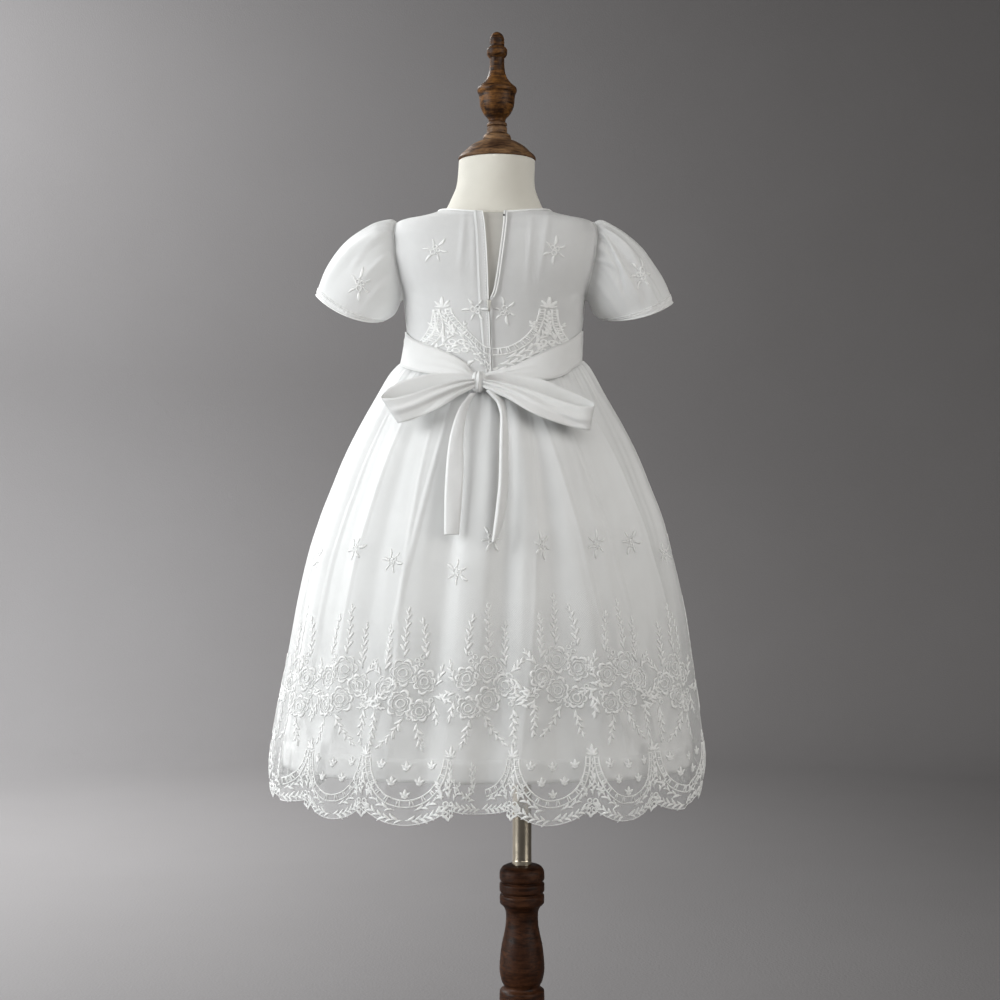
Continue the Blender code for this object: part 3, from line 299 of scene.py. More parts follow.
# ---------------------------------------------------------------- stand sizes
NECK_MIDDLE = -0.0250
BASE_RADIUS = 0.160
TURNING = ("height", "radius")
BASE_ROWS = (
    (0.0000, 0.1575), (0.0008, 0.1592), (0.0030, 0.1600), (0.0150, 0.1600), (0.0210, 0.1597),
    (0.0245, 0.1580), (0.0258, 0.1560), (0.0262, 0.1530), (0.0268, 0.1500), (0.0282, 0.1470),
    (0.0292, 0.1420), (0.0299, 0.1300), (0.0300, 0.0900), (0.0300, 0.0360),
)
COLUMN_ROWS = (
    (0.0303, 0.0335), (0.0312, 0.0340), (0.0395, 0.0340), (0.0410, 0.0328), (0.0480, 0.0275),
    (0.0560, 0.0210), (0.0700, 0.0200), (0.1280, 0.0200), (0.1360, 0.0215), (0.1420, 0.0225),
    (0.1500, 0.0222), (0.1530, 0.0186), (0.1545, 0.0181), (0.1600, 0.0205), (0.1720, 0.0225),
    (0.1900, 0.0212), (0.2210, 0.0160), (0.2280, 0.0162), (0.2340, 0.0185), (0.2370, 0.0216),
    (0.2382, 0.0222), (0.2440, 0.0223), (0.2456, 0.0220), (0.2474, 0.0203), (0.2490, 0.0220),
    (0.2505, 0.0225), (0.2560, 0.0225), (0.2574, 0.0220), (0.2590, 0.0203), (0.2606, 0.0220),
    (0.2625, 0.0225), (0.2685, 0.0223), (0.2705, 0.0216), (0.2735, 0.0195), (0.2750, 0.0165),
)
NECK_CAP_ROWS = (
    (0.9790, 0.0374), (0.9794, 0.0383), (0.9808, 0.0388), (0.9835, 0.0375), (0.9870, 0.0336),
    (0.9920, 0.0285), (0.9965, 0.0214), (0.9985, 0.0170), (0.9994, 0.0140), (1.0006, 0.0142),
    (1.0036, 0.0136), (1.0056, 0.0116), (1.0066, 0.0102), (1.0090, 0.0101),
    (1.0120, 0.0101), (1.0130, 0.0086), (1.0142, 0.0101), (1.0162, 0.0098), (1.0178, 0.0083),
)
FINIAL_ROWS = (
    (1.0182, 0.0083), (1.0200, 0.0086), (1.0257, 0.0132), (1.0343, 0.0170), (1.0440, 0.0181),
    (1.0462, 0.0187), (1.0480, 0.0196), (1.0500, 0.0199), (1.0520, 0.0192), (1.0535, 0.0176),
    (1.0571, 0.0136), (1.0630, 0.0097), (1.0700, 0.0078), (1.0770, 0.0073), (1.0815, 0.0074),
    (1.0830, 0.0088), (1.0863, 0.0102), (1.0895, 0.0103), (1.0920, 0.0090), (1.0932, 0.0074),
    (1.1000, 0.0073), (1.1045, 0.0058), (1.1070, 0.0032), (1.1080, 0.0010),
)
POLE_ROWS = (
    (0.2753, 0.0095), (0.2757, 0.0097), (0.2800, 0.0097), (0.2806, 0.0095), (0.6090, 0.0095),
    (0.6114, 0.0094), (0.6117, 0.0092),
)

# ---------------------------------------------------------------- embroidery sizes
LACE_REPEAT = 0.0780             # width of one repeat of the lace, cusp to cusp
LADDER_TOP, LADDER_LOW, LADDER_HALF = 0.0630, 0.0200, 0.0031
LADDER_SQUARES = 13
THREAD = 0.00045                 # half width of a corded line
STITCH_RISE = 0.0005             # how far the satin stitch stands up
# Roses of a bouquet: place from its middle, radius and turn.
ROSE_ROWS = (
    (-0.0183, 0.0073, 0.0100, 0.3), (-0.0147, -0.0190, 0.0098, 3.6), (0.0178, 0.0022, 0.0104, 2.2),
    (0.0008, 0.0160, 0.0118, 1.4), (0.0025, -0.0120, 0.0110, 5.0),
)
# Sprays of a bouquet: root, heading in degrees from upright towards the right, length, pairs of leaves,
# and how far the stem curls to the right.
SPRAY_ROWS = (
    (-0.0195, 0.0280, 5, 0.034, 4, 4), (0.0010, 0.0300, -2, 0.042, 5, -3), (0.0185, 0.0180, -5, 0.038, 5, 6),
    (-0.0285, 0.0030, -24, 0.017, 2, 10), (-0.0270, -0.0060, -98, 0.014, 2, -16), (-0.0285, -0.0130, 188, 0.015, 2, 0),
    (0.0225, 0.0130, 44, 0.014, 2, -16), (0.0275, -0.0120, 64, 0.032, 4, -30), (0.0280, -0.0150, 92, 0.016, 2, 6),
    (0.0262, -0.0180, 178, 0.030, 4, -6), (-0.0130, -0.0300, 190, 0.022, 3, 6), (-0.0010, -0.0250, 146, 0.032, 4, -12),
)
BOUQUET_RINGS = ((-0.0158, 0.0305), (-0.0112, 0.0275), (-0.0150, 0.0235), (-0.0105, 0.0205), (0.0256, -0.0100),
                 (0.0240, -0.0148), (-0.0060, -0.0255), (-0.0248, -0.0095))
BOUQUET_PLACES = (               # turn and height
    (-95, 0.463), (-66, 0.461), (-43, 0.465), (-23, 0.464), (-1, 0.468), (19, 0.476), (38, 0.470), (61, 0.464),
    (94, 0.467), (123, 0.471), (148, 0.464), (170, 0.469), (192, 0.474), (215, 0.463), (240, 0.467),
)
# Skirt sprigs: turn and height; and bodice sprigs at the back and the front: x and height.
SKIRT_SPRIGS = (
    (-92, 0.592), (-68, 0.584), (-46, 0.594), (-31, 0.583), (-10, 0.573), (0, 0.604), (16, 0.598),
    (34, 0.599), (50, 0.600), (71, 0.588), (94, 0.596), (116, 0.586), (137, 0.597), (155, 0.584),
    (174, 0.598), (192, 0.585), (211, 0.597), (231, 0.584), (250, 0.594),
)
BODICE_SPRIGS = {
    "back": ((-0.0840, 0.8818, 0.2), (0.0300, 0.8818, -0.4), (-0.0450, 0.8240, 1.0), (-0.0175, 0.8225, 2.4)),
    "front": ((-0.0700, 0.8680, 0.4), (0.0160, 0.8680, -0.3), (-0.0270, 0.8300, 1.3)),
}
SLEEVE_SPRIGS = {"left": ((0.62, 88, 0.5), (0.55, -70, 1.5)), "right": ((0.60, 60, 2.0), (0.55, -80, 0.3))}

# ---------------------------------------------------------------- camera and light
CAMERA_PLACE = (-0.022, -1.750, 0.640)
CAMERA_LENS = 63.0
WALL_RADIUS = 3.5
LIGHT_SPREAD = math.radians(140)


# ---------------------------------------------------------------- tables and curves
def table(names, rows):
    """A table's columns as arrays, by name."""
    return dict(zip(names, np.array(rows, dtype=float).T))


def smooth(at, stations, values):
    """A curve through a table's values that never swings past them: cubic between stations, with each
    slope the harmonic mean of its neighbours' slopes."""
    span = np.diff(stations)
    slope = np.diff(values) / span
    product = slope[1:] * slope[:-1]
    total = np.where(product > 0, slope[1:] + slope[:-1], 1.0)
    inner = np.where(product > 0, 2 * product / total, 0.0)
    tangent = np.concatenate([slope[:1], inner, slope[-1:]])
    cell = np.clip(np.searchsorted(stations, at) - 1, 0, len(span) - 1)
    share = np.clip((at - stations[cell]) / span[cell], 0, 1)
    rest = 1 - share
    return (values[cell] * rest ** 2 * (1 + 2 * share)
            + values[cell + 1] * share ** 2 * (1 + 2 * rest)
            + span[cell] * (tangent[cell] * share * rest ** 2 - tangent[cell + 1] * share ** 2 * rest))


def bump(distance, half_width):
    """A round ridge: the squared cosine of the distance, 1 at its crest and 0 past its half width."""
    return np.cos(np.clip(distance / half_width, -1, 1) * math.pi / 2) ** 2


def around(angle):
    """An angle in degrees, brought between -180 and 180."""
    return (angle + 180) % 360 - 180


def unit(vectors):
    return vectors / np.linalg.norm(vectors, axis=-1, keepdims=True)


# ---------------------------------------------------------------- meshes
def put_mesh(name, points, faces, finish, uv, girth=None):
    """A piece from points, four-sided faces and a flat place in metres for each point. A piece that runs
    round and meets itself gives its girth, and its last faces take flat places past that."""
    points, uv = points.reshape(-1, 3), uv.reshape(-1, 2)
    mesh = bpy.data.meshes.new(name)
    mesh.vertices.add(len(points))
    mesh.vertices.foreach_set("co", points.astype(np.float32).ravel())
    mesh.loops.add(faces.size)
    mesh.loops.foreach_set("vertex_index", faces.astype(np.int32).ravel())
    mesh.polygons.add(len(faces))
    mesh.polygons.foreach_set("loop_start", np.arange(0, faces.size, 4, dtype=np.int32))
    mesh.update(calc_edges=True)
    corners = uv[faces]
    if girth:
        first = corners[..., 0] < girth / 2
        meets = np.ptp(corners[..., 0], axis=1) > girth / 2
        corners[..., 0] += girth * (first & meets[:, None])
    layer = mesh.uv_layers.new(name="cloth")
    layer.data.foreach_set("uv", corners.astype(np.float32).ravel())
    mesh.shade_smooth()
    mesh.materials.append(finish)
    piece = bpy.data.objects.new(name, mesh)
    bpy.context.scene.collection.objects.link(piece)
    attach(piece, "root")
    return piece


def quads(index, closed):
    """Four-sided faces over a grid of point numbers; a closed grid runs round and meets itself."""
    if closed:
        index = np.hstack([index, index[:, :1]])
    corners = (index[:-1, :-1], index[:-1, 1:], index[1:, 1:], index[1:, :-1])
    return np.stack(corners, axis=-1).reshape(-1, 4)


def end_caps(first, last):
    """Four-sided faces over two end rings: strips between the ring's opposite points."""
    count = first.shape[-1]
    near = np.arange(count // 2 - 1)
    pick = np.stack([near, near + 1, count - 2 - near, count - 1 - near], axis=-1)
    return np.concatenate([first[..., pick[:, ::-1]].reshape(-1, 4), last[..., pick].reshape(-1, 4)])


def grid_normals(points, closed):
    """Unit normals of a grid of points: across by down."""
    if closed:
        across = np.roll(points, -1, axis=1) - np.roll(points, 1, axis=1)
    else:
        across = np.gradient(points, axis=1)
    return unit(np.cross(across, np.gradient(points, axis=0)))


def girth(flat):
    """The length round a closed grid, from its flat places, which stop one step short of it."""
    return flat[..., 0].max() * flat.shape[1] / (flat.shape[1] - 1)


def flat_places(points):
    """Where each point of a grid lies on the flat cloth: mean lengths along its rows and columns."""
    along = np.linalg.norm(np.diff(points, axis=1), axis=-1).mean(axis=0)
    down = np.linalg.norm(np.diff(points, axis=0), axis=-1).mean(axis=1)
    u = np.concatenate([[0], np.cumsum(along)])
    v = -np.concatenate([[0], np.cumsum(down)])
    return np.stack(np.meshgrid(u, v), axis=-1)


def wall(name, outer, inner, finish, closed):
    """A cloth wall: an outer and an inner grid of points, joined along their edges."""
    rows, columns = outer.shape[:2]
    front = np.arange(rows * columns).reshape(rows, columns)
    back = front + rows * columns
    edges = [(back[0], front[0]), (front[-1], back[-1])]
    if not closed:
        edges += [(front[:, 0], back[:, 0]), (back[:, -1], front[:, -1])]
    faces = np.concatenate([quads(front, closed), quads(back, closed)[:, ::-1]]
                           + [quads(np.stack(edge), closed) for edge in edges])
    if np.sum((outer - inner) * grid_normals(outer, closed)) < 0:
        faces = faces[:, ::-1]
    flat = flat_places(outer)
    return put_mesh(name, np.concatenate([outer, inner]), faces, finish, np.concatenate([flat, flat]),
                    girth(flat) if closed else None)


def net_sheet(name, points, finish):
    """A single layer of net over a closed grid of points, its rows running down."""
    index = np.arange(points.shape[0] * points.shape[1]).reshape(points.shape[:2])
    flat = flat_places(points)
    return put_mesh(name, points, quads(index, True)[:, ::-1], finish, flat, girth(flat))


def turned(name, rows, middle, finish, sides=96, steps=5):
    """A piece turned on a lathe: the radius and the height eased along the profile's length, turned
    about an upright axis, and closed by a flat disc at each end."""
    profile = table(TURNING, rows)
    length = np.concatenate([[0], np.cumsum(np.hypot(np.diff(profile["height"]), np.diff(profile["radius"])))])
    share = np.arange(steps * (len(length) - 1) + 1) / steps
    along = np.interp(share, np.arange(len(length)), length)
    radius, height = (smooth(along, length, profile[key])[:, None] for key in ("radius", "height"))
    turn = np.linspace(0, 2 * math.pi, sides, endpoint=False)
    rings = np.stack([middle + radius * np.cos(turn), radius * np.sin(turn), height + 0 * turn], axis=-1)
    index = np.arange(len(along) * sides).reshape(len(along), sides)
    faces = np.concatenate([quads(index, True), end_caps(index[:1], index[-1:])])
    flat = np.stack(np.broadcast_arrays(turn * radius.max(), along[:, None]), axis=-1)
    return put_mesh(name, rings, faces, finish, flat, 2 * math.pi * radius.max())


def tube(name, path, radius, finish, sides=8, across=(0.02, 0.9, 0.4)):
    """A corded line: a round profile carried along a path of points, which nowhere runs along across."""
    tangent = unit(np.gradient(path, axis=0))
    side = unit(np.cross(tangent, np.array(across)))
    third = np.cross(tangent, side)
    turn = np.linspace(0, 2 * math.pi, sides, endpoint=False)[None, :, None]
    rings = path[:, None] + radius * (np.cos(turn) * side[:, None] + np.sin(turn) * third[:, None])
    index = np.arange(rings.shape[0] * sides).reshape(-1, sides)
    faces = np.concatenate([quads(index, True), end_caps(index[:1], index[-1:])])
    along = np.concatenate([[0], np.cumsum(np.linalg.norm(np.diff(path, axis=0), axis=-1))])
    flat = np.stack(np.broadcast_arrays(along[:, None], turn[..., 0] * radius), axis=-1)
    return put_mesh(name, rings, faces, finish, flat)


# ---------------------------------------------------------------- form and bodice surfaces
BODY_TABLE = table(BODY, BODY_ROWS)
BODY_LEVEL = np.concatenate([[0.0], np.cumsum(np.hypot(np.diff(BODY_TABLE["height"]),
                                                       np.diff(BODY_TABLE["half_width"])))])
LEVELS = np.linspace(0, BODY_LEVEL[-1], 2000)
LEVEL_HEIGHTS = smooth(LEVELS, BODY_LEVEL, BODY_TABLE["height"])


def level_at(height):
    """The level at which the form's surface reaches a height."""
    return np.interp(height, LEVEL_HEIGHTS, LEVELS)


def body_point(level, angle):
    """A point of the form: a superellipse whose middle, halves and fullness follow the level."""
    level, angle = np.broadcast_arrays(level, angle)
    height, middle, half_width, half_depth, fullness = (
        smooth(level, BODY_LEVEL, BODY_TABLE[name]) for name in BODY)
    reach = (np.abs(np.cos(angle) / half_width) ** fullness
             + np.abs(np.sin(angle) / half_depth) ** fullness) ** (-1 / fullness)
    return np.stack([middle + reach * np.cos(angle), reach * np.sin(angle), height], axis=-1)


def moved_out(level, angle, distance):
    """Points of the form's surface, moved out along its normals."""
    step = 1e-4
    along = body_point(level, angle + step) - body_point(level, angle - step)
    up = body_point(level + step / 10, angle) - body_point(level - step / 10, angle)
    normal = unit(np.cross(along, up))
    return body_point(level, angle) + normal * np.asarray(distance)[..., None]


def creases(points, rows):
    """Height of a panel's creases: round ridges about straight lines, fading at both ends."""
    total = np.zeros(points.shape[:-1])
    for x0, z0, x1, z1, half_width, rise in rows:
        along = np.array([x1 - x0, z1 - z0])
        length = np.hypot(*along)
        away = points[..., [0, 2]] - np.array([x0, z0])
        share = (away @ along) / length ** 2
        distance = (away[..., 0] * along[1] - away[..., 1] * along[0]) / length
        total += rise * bump(distance, half_width) * bump(share - 0.5, 0.75)
    return total


def bodice_point(level, angle, distance):
    """A point of the bodice: the form moved out, and out again by the creases of the back or front."""
    base = body_point(level, angle)
    rise = np.where(base[..., 1] < 0, creases(base, BACK_CREASE_ROWS), creases(base, FRONT_CREASE_ROWS))
    return moved_out(level, angle, distance + rise)


def facing_angle(x, height, face):
    """The angle at which the form's back (face -1) or front (face 1) has a given x."""
    level = level_at(height)
    middle, half_width, half_depth, fullness = (
        smooth(level, BODY_LEVEL, BODY_TABLE[name]) for name in BODY[1:])
    side = np.clip((x - middle) / half_width, -0.999, 0.999)
    depth = half_depth * (1 - np.abs(side) ** fullness) ** (1 / fullness)
    return np.arctan2(face * depth, side * half_width)


def waist_height(turn):
    """Height of the waist seam: level at the sides, lower by a squared cosine at the back and front."""
    back = np.cos(turn)
    return WAIST - np.where(back > 0, WAIST_DIP_BACK, WAIST_DIP_FRONT) * back ** 2


def pairs(angle, level):
    return np.stack(np.broadcast_arrays(angle, level), axis=-1)


def blended(low, high, first, second):
    """A patch of (angle, level) pairs between four edges: both straight blends less the corners'."""
    across = np.linspace(0, 1, len(low))[None, :, None]
    up = np.linspace(0, 1, len(first))[:, None, None]
    corners = ((1 - up) * ((1 - across) * low[0] + across * low[-1])
               + up * ((1 - across) * high[0] + across * high[-1]))
    return ((1 - up) * low[None] + up * high[None]
            + (1 - across) * first[:, None] + across * second[:, None] - corners)


def armhole_pairs(share, side, face):
    """(angle, level) pairs round half an armhole, share 0 at the underarm and pi at the shoulder tip."""
    depth = np.where(np.asarray(face) < 0, ARMHOLE_BACK, ARMHOLE_FRONT)
    height = (UNDERARM + SHOULDER_TIP) / 2 - (SHOULDER_TIP - UNDERARM) / 2 * np.cos(share)
    level = level_at(height)
    reach = smooth(level, BODY_LEVEL, BODY_TABLE["half_width"])
    angle = face * np.arctan2(depth * np.sin(share), reach)
    return pairs(angle if side > 0 else face * math.pi - angle, level)


def side_edge(side, face, low, high):
    """(angle, level) pairs of a panel's side: up the side seam, then round the armhole."""
    side_angle = 0.0 if side > 0 else face * math.pi
    seam = pairs(side_angle, np.linspace(level_at(WAIST + BODICE_LIFT), level_at(UNDERARM), low)[:-1])
    return np.concatenate([seam, armhole_pairs(np.linspace(0, math.pi, high), side, face)])


def neck_and_shoulder(neck, shoulder, side, face, centre):
    """(angle, level) pairs of a panel's top: along the neckline, then down the shoulder seam."""
    side_angle = 0.0 if side > 0 else face * math.pi
    neck_middle = NECK_BACK if face < 0 else NECK_FRONT
    share = np.linspace(0, 1, neck)
    angle = centre + (side_angle - centre) * share
    height = neck_middle + (NECK_SIDE - neck_middle) * np.sin(share * math.pi / 2) ** 2
    seam = np.linspace(level_at(NECK_SIDE), level_at(SHOULDER_TIP), shoulder + 1)[1:]
    return np.concatenate([pairs(angle, level_at(height)), pairs(side_angle, seam)])


def waist_edge(angles):
    return pairs(angles, level_at(waist_height(angles + math.pi / 2) + BODICE_LIFT))


def panel(name, patch, finish):
    """A bodice panel: its outer face on the bodice's surface over a patch, its inner face CLOTH inside."""
    angle, level = patch[..., 0], patch[..., 1]
    outer, inner = bodice_point(level, angle, EASE + CLOTH), bodice_point(level, angle, EASE)
    face = np.sign(inner[len(inner) // 2, inner.shape[1] // 2, 1])
    for layer in (inner, outer):
        layer[..., 1] = face * np.maximum(face * layer[..., 1], SEAM)
    return wall(name, outer, inner, finish, False)


OPENING_TABLE = table(OPENING, OPENING_ROWS)


def opening(name, height):
    """A width or an edge of the centre back opening at a height."""
    return smooth(height, OPENING_TABLE["height"], OPENING_TABLE[name])


def edge_angle(height, offset):
    """The angle at which a line this far from the middle crosses the back of the form."""
    depth = smooth(level_at(height), BODY_LEVEL, BODY_TABLE["half_depth"]) + EASE + CLOTH
    return -math.pi / 2 + np.arctan2(offset, depth)


def back_strip(name, lowest, left, right, inside, finish, columns=8, rows=72, pressed=0.0):
    """A narrow strip up the centre back, from one line to another, a set distance off the form. A
    pressed one thins towards its left edge and has a soft ridge near it."""
    heights = np.linspace(NECK_BACK, lowest, rows)
    shares = np.linspace(0, 1, columns)
    offset = left(heights)[:, None] * (1 - shares) + right(heights)[:, None] * shares
    angle = edge_angle(heights[:, None], offset)
    level = level_at(heights)[:, None]
    profile = 1 - pressed * ((1 - shares) ** 6 + 0.45 * bump(shares - 0.55, 0.35)) + 0.4 * pressed * bump(shares - 0.2, 0.15)
    return wall(name, bodice_point(level, angle, inside + STRIP * profile), bodice_point(level, angle, inside),
                finish, False)


# ---------------------------------------------------------------- sleeve, skirt, sash and bow surfaces
SIDES = {"left": -1, "right": 1}


def armhole_ring(side, turn):
    """Where a sleeve is set in: round the armhole, just inside the bodice's edge, from the shoulder by
    the back at turn 0 to 180, to the front at 180 to 360."""
    turn = turn % 360
    edge = armhole_pairs(np.radians(np.abs(180 - turn)), side, np.where(turn <= 180, -1, 1))
    return moved_out(edge[..., 1], edge[..., 0], EASE + CLOTH)


def sleeve_line(name, share, turn):
    """The sleeve before it is set in and folded: an oval between its top and underarm lines."""
    lines = table(SLEEVE, SLEEVE_ROWS[name])
    stations = np.linspace(0, 1, len(lines["top_x"]))
    top_x, top_z, low_x, low_z, half_depth, sag = (smooth(share, stations, lines[key]) for key in SLEEVE)
    along, across = np.cos(np.radians(turn)), np.sin(np.radians(turn))
    x = (top_x + low_x) / 2 + (top_x - low_x) / 2 * along
    z = (top_z + low_z) / 2 + (top_z - low_z) / 2 * along - sag * across ** 2 - CUFF_TILT * share ** 2 * across
    return np.stack(np.broadcast_arrays(x, -half_depth * across, z), axis=-1)


def sleeve_base(name, share, turn):
    """The sleeve's oval, drawn to the armhole by the cube of what is left to the cuff."""
    side = SIDES[name]
    share, turn = np.broadcast_arrays(share, turn)
    centre = armhole_ring(side, np.arange(0, 360, 9)).mean(axis=0)
    ring = armhole_ring(side, turn)
    inward = (centre - ring) * np.array([0, 1, 1])
    ring = ring + unit(inward) * ARMHOLE_INSET + np.array([side * 2 * SEAM, 0, 0])
    start = sleeve_line(name, np.zeros_like(share), turn)
    return sleeve_line(name, share, turn) + (ring - start) * (1 - share[..., None]) ** 3


def sleeve_rise(name, share, turn):
    """How far the sleeve's cloth stands out: folds and creases from the table, gathers at its head, and
    small puckers at the cuff's elastic."""
    rise = np.zeros(np.broadcast(share, turn).shape)
    for first, start, last, end, half_width, height in SLEEVE_CREASE_ROWS[name]:
        along = np.clip((share - first) / (last - first), 0, 1)
        crest = start + (end - start) * along
        rise += height * np.sin(along * math.pi) ** 0.7 * bump(around(turn - crest), half_width)
    head = np.clip(1 - np.abs(around(turn)) / 110, 0, 1)
    wave = 0.5 + 0.5 * np.cos(np.radians(turn) * SLEEVE_GATHERS)
    fine = 0.5 + 0.5 * np.cos(np.radians(turn) * SLEEVE_GATHERS * 2.5 + 1.0)
    gathers = (wave + 0.35 * fine) * head * share * np.exp(1 - share / 0.09) / 0.09
    cuff = 0.0004 * (0.5 + 0.5 * np.cos(np.radians(turn) * 52)) * np.exp(-((share - 0.93) / 0.05) ** 2)
    return rise + SLEEVE_GATHER_RISE * gathers + cuff


def sleeve_point(name, share, turn, distance=0.0):
    """A point of the sleeve, moved out along its oval's normal by its folds and a set distance."""
    base = sleeve_base(name, share, turn)
    across = sleeve_base(name, share, turn + 0.3) - sleeve_base(name, share, turn - 0.3)
    down = sleeve_base(name, share + 0.004, turn) - sleeve_base(name, share - 0.004, turn)
    normal = SIDES[name] * unit(np.cross(across, down))
    return base + normal * (sleeve_rise(name, share, turn) + distance)[..., None]


SKIRT_TABLE = table(SKIRT, SKIRT_ROWS)


def skirt_folds(turn, drop):
    """How far the skirt stands out: squared-cosine folds whose crests move from waist to hem."""
    rise = np.zeros(np.broadcast(turn, drop).shape)
    growth = 0.15 + 0.85 * np.clip(drop / FOLD_GROWTH, 0, 1)
    for waist_turn, hem_turn, half_width, height in FOLD_ROWS:
        crest = waist_turn + (hem_turn - waist_turn) * drop / (WAIST - HEM)
        rise += height * growth * bump(around(turn - crest), half_width)
    return rise


def skirt_gathers(turn, drop):
    """Gathers below the seam, coarse and fine, that fade by the square of the drop."""
    coarse = 0.5 + 0.5 * np.cos(np.radians(turn) * GATHERS)
    fine = 0.5 + 0.5 * np.cos(np.radians(turn) * GATHERS * 3 + 0.8)
    return (GATHER_RISE * coarse * np.exp(-(drop / GATHER_DROP) ** 2)
            + 0.30 * GATHER_RISE * fine * np.exp(-(drop / 0.030) ** 2))


def skirt_ripples(turn, drop):
    """Fine long ripples: sines round the skirt whose phase drifts as they fall."""
    total = np.zeros(np.broadcast(turn, drop).shape)
    for waves, rise, drift, phase in RIPPLE_ROWS:
        total += rise * np.sin(np.radians(turn) * waves + drift * drop + phase
                               + 1.5 * np.sin(np.radians(turn) * 5 + phase))
    return total * np.clip(drop / 0.08, 0, 1)


def hem_height(turn):
    """Height of the overlay's hem: a cusp between scallops, each a sine to the power of 0.8 deep."""
    scallops = table(SCALLOP, SCALLOP_ROWS)
    start = scallops["start_turn"]
    ends = np.append(start, start[0] + 360)
    turn = (turn - start[0]) % 360 + start[0]
    cell = np.clip(np.searchsorted(ends, turn, side="right") - 1, 0, len(start) - 1)
    share = (turn - ends[cell]) / (ends[cell + 1] - ends[cell])
    return HEM + scallops["depth"].max() - scallops["depth"][cell] * np.sin(math.pi * share) ** 0.8


def skirt_section(turn, drop, out):
    """A point of the skirt's oval section at a drop, moved out evenly round it."""
    middle, half_width, half_depth = (smooth(drop, SKIRT_TABLE["drop"], SKIRT_TABLE[name])
                                      for name in SKIRT[1:])
    turn_angle = np.radians(turn)
    return np.stack(np.broadcast_arrays(middle + (half_width + out) * np.sin(turn_angle),
                                        -(half_depth + out) * np.cos(turn_angle),
                                        waist_height(turn_angle) - drop), axis=-1)


def overlay_point(turn, height, out=0.0):
    """A point of the skirt's overlay at a turn in degrees and a height."""
    drop = np.maximum(waist_height(np.radians(turn)) - height, 0)
    rise = skirt_folds(turn, drop) + skirt_gathers(turn, drop) + skirt_ripples(turn, drop)
    return skirt_section(turn, drop, rise + out)


def lining_point(turn, height, out=0.0):
    """A point of the lining, inside the overlay, with a share of its folds."""
    drop = np.maximum(waist_height(np.radians(turn)) - height, 0)
    share = np.clip(drop / 0.36, 0, 1)
    inset = LINING_INSET[0] + (LINING_INSET[1] - LINING_INSET[0]) * share ** 1.2
    follows = LINING_FOLDS[0] + (LINING_FOLDS[1] - LINING_FOLDS[0]) * share
    return skirt_section(turn, drop, follows * skirt_folds(turn, drop) - inset + out)


def skirt_reach(turn):
    """Metres round the skirt for each degree, where the bouquets and sprigs lie."""
    turn = np.radians(turn)
    return np.hypot(0.203 * np.cos(turn), 0.143 * np.sin(turn)) * math.pi / 180


def skirt_back(x, z):
    """y of the back of the skirt, over its highest folds, at a place seen from behind."""
    drop = np.maximum(WAIST - WAIST_DIP_BACK - z, 0)
    for _ in range(3):
        middle, half_width, half_depth = (smooth(drop, SKIRT_TABLE["drop"], SKIRT_TABLE[name])
                                          for name in SKIRT[1:])
        side = np.clip((x - middle) / half_width, -0.97, 0.97)
        drop = np.maximum(waist_height(np.arcsin(side)) - z, 0)
    return -half_depth * np.sqrt(1 - side ** 2)


def sash_grid(rows=14, columns=420):
    """The sash's outer face: straight between its upper edge on the bodice and its lower edge on the
    skirt's gathers, with soft creases drawn towards the knot. Its rows run down."""
    bands = table(SASH, SASH_ROWS)
    turn = np.linspace(bands["turn"][0], bands["turn"][-1], columns)
    upper = smooth(turn, bands["turn"], bands["upper"])
    lower = smooth(turn, bands["turn"], bands["lower"])
    below = waist_height(np.radians(turn)) - lower
    level = level_at(upper)
    body = {name: smooth(level, BODY_LEVEL, BODY_TABLE[name]) for name in BODY}
    low = {name: smooth(np.maximum(below, 0), SKIRT_TABLE["drop"], SKIRT_TABLE[name]) for name in SKIRT}
    over_skirt = np.clip((below + SASH_OVERLAP) / SASH_OVERLAP, 0, 1)
    top_out = EASE + CLOTH + SASH_TOP_CLEAR
    low_out = SASH_SIDE_CLEAR + (SASH_LOW_CLEAR - SASH_SIDE_CLEAR) * over_skirt
    share = np.linspace(0, 1, rows)[:, None]
    from_knot = np.minimum(np.abs(turn - turn[0]), np.abs(turn[-1] - turn))
    crease = (0.0008 * bump(share - 0.38, 0.20) * np.exp(-(from_knot - 14) ** 2 / 500)
              + 0.0006 * bump(share - 0.72, 0.16) * np.exp(-(from_knot - 26) ** 2 / 900)
              + 0.0005 * bump(share - 0.25 - 0.004 * (from_knot - 70), 0.16) * bump(from_knot - 72, 40))
    middle = body["middle"] * (1 - share) + low["middle"] * share
    wide = (body["half_width"] + top_out) * (1 - share) + (low["half_width"] + low_out) * share + crease
    deep = (body["half_depth"] + top_out) * (1 - share) + (low["half_depth"] + low_out) * share + crease
    height = upper * (1 - share) + lower * share
    return np.stack([middle + wide * np.sin(np.radians(turn)), -deep * np.cos(np.radians(turn)), height],
                    axis=-1)


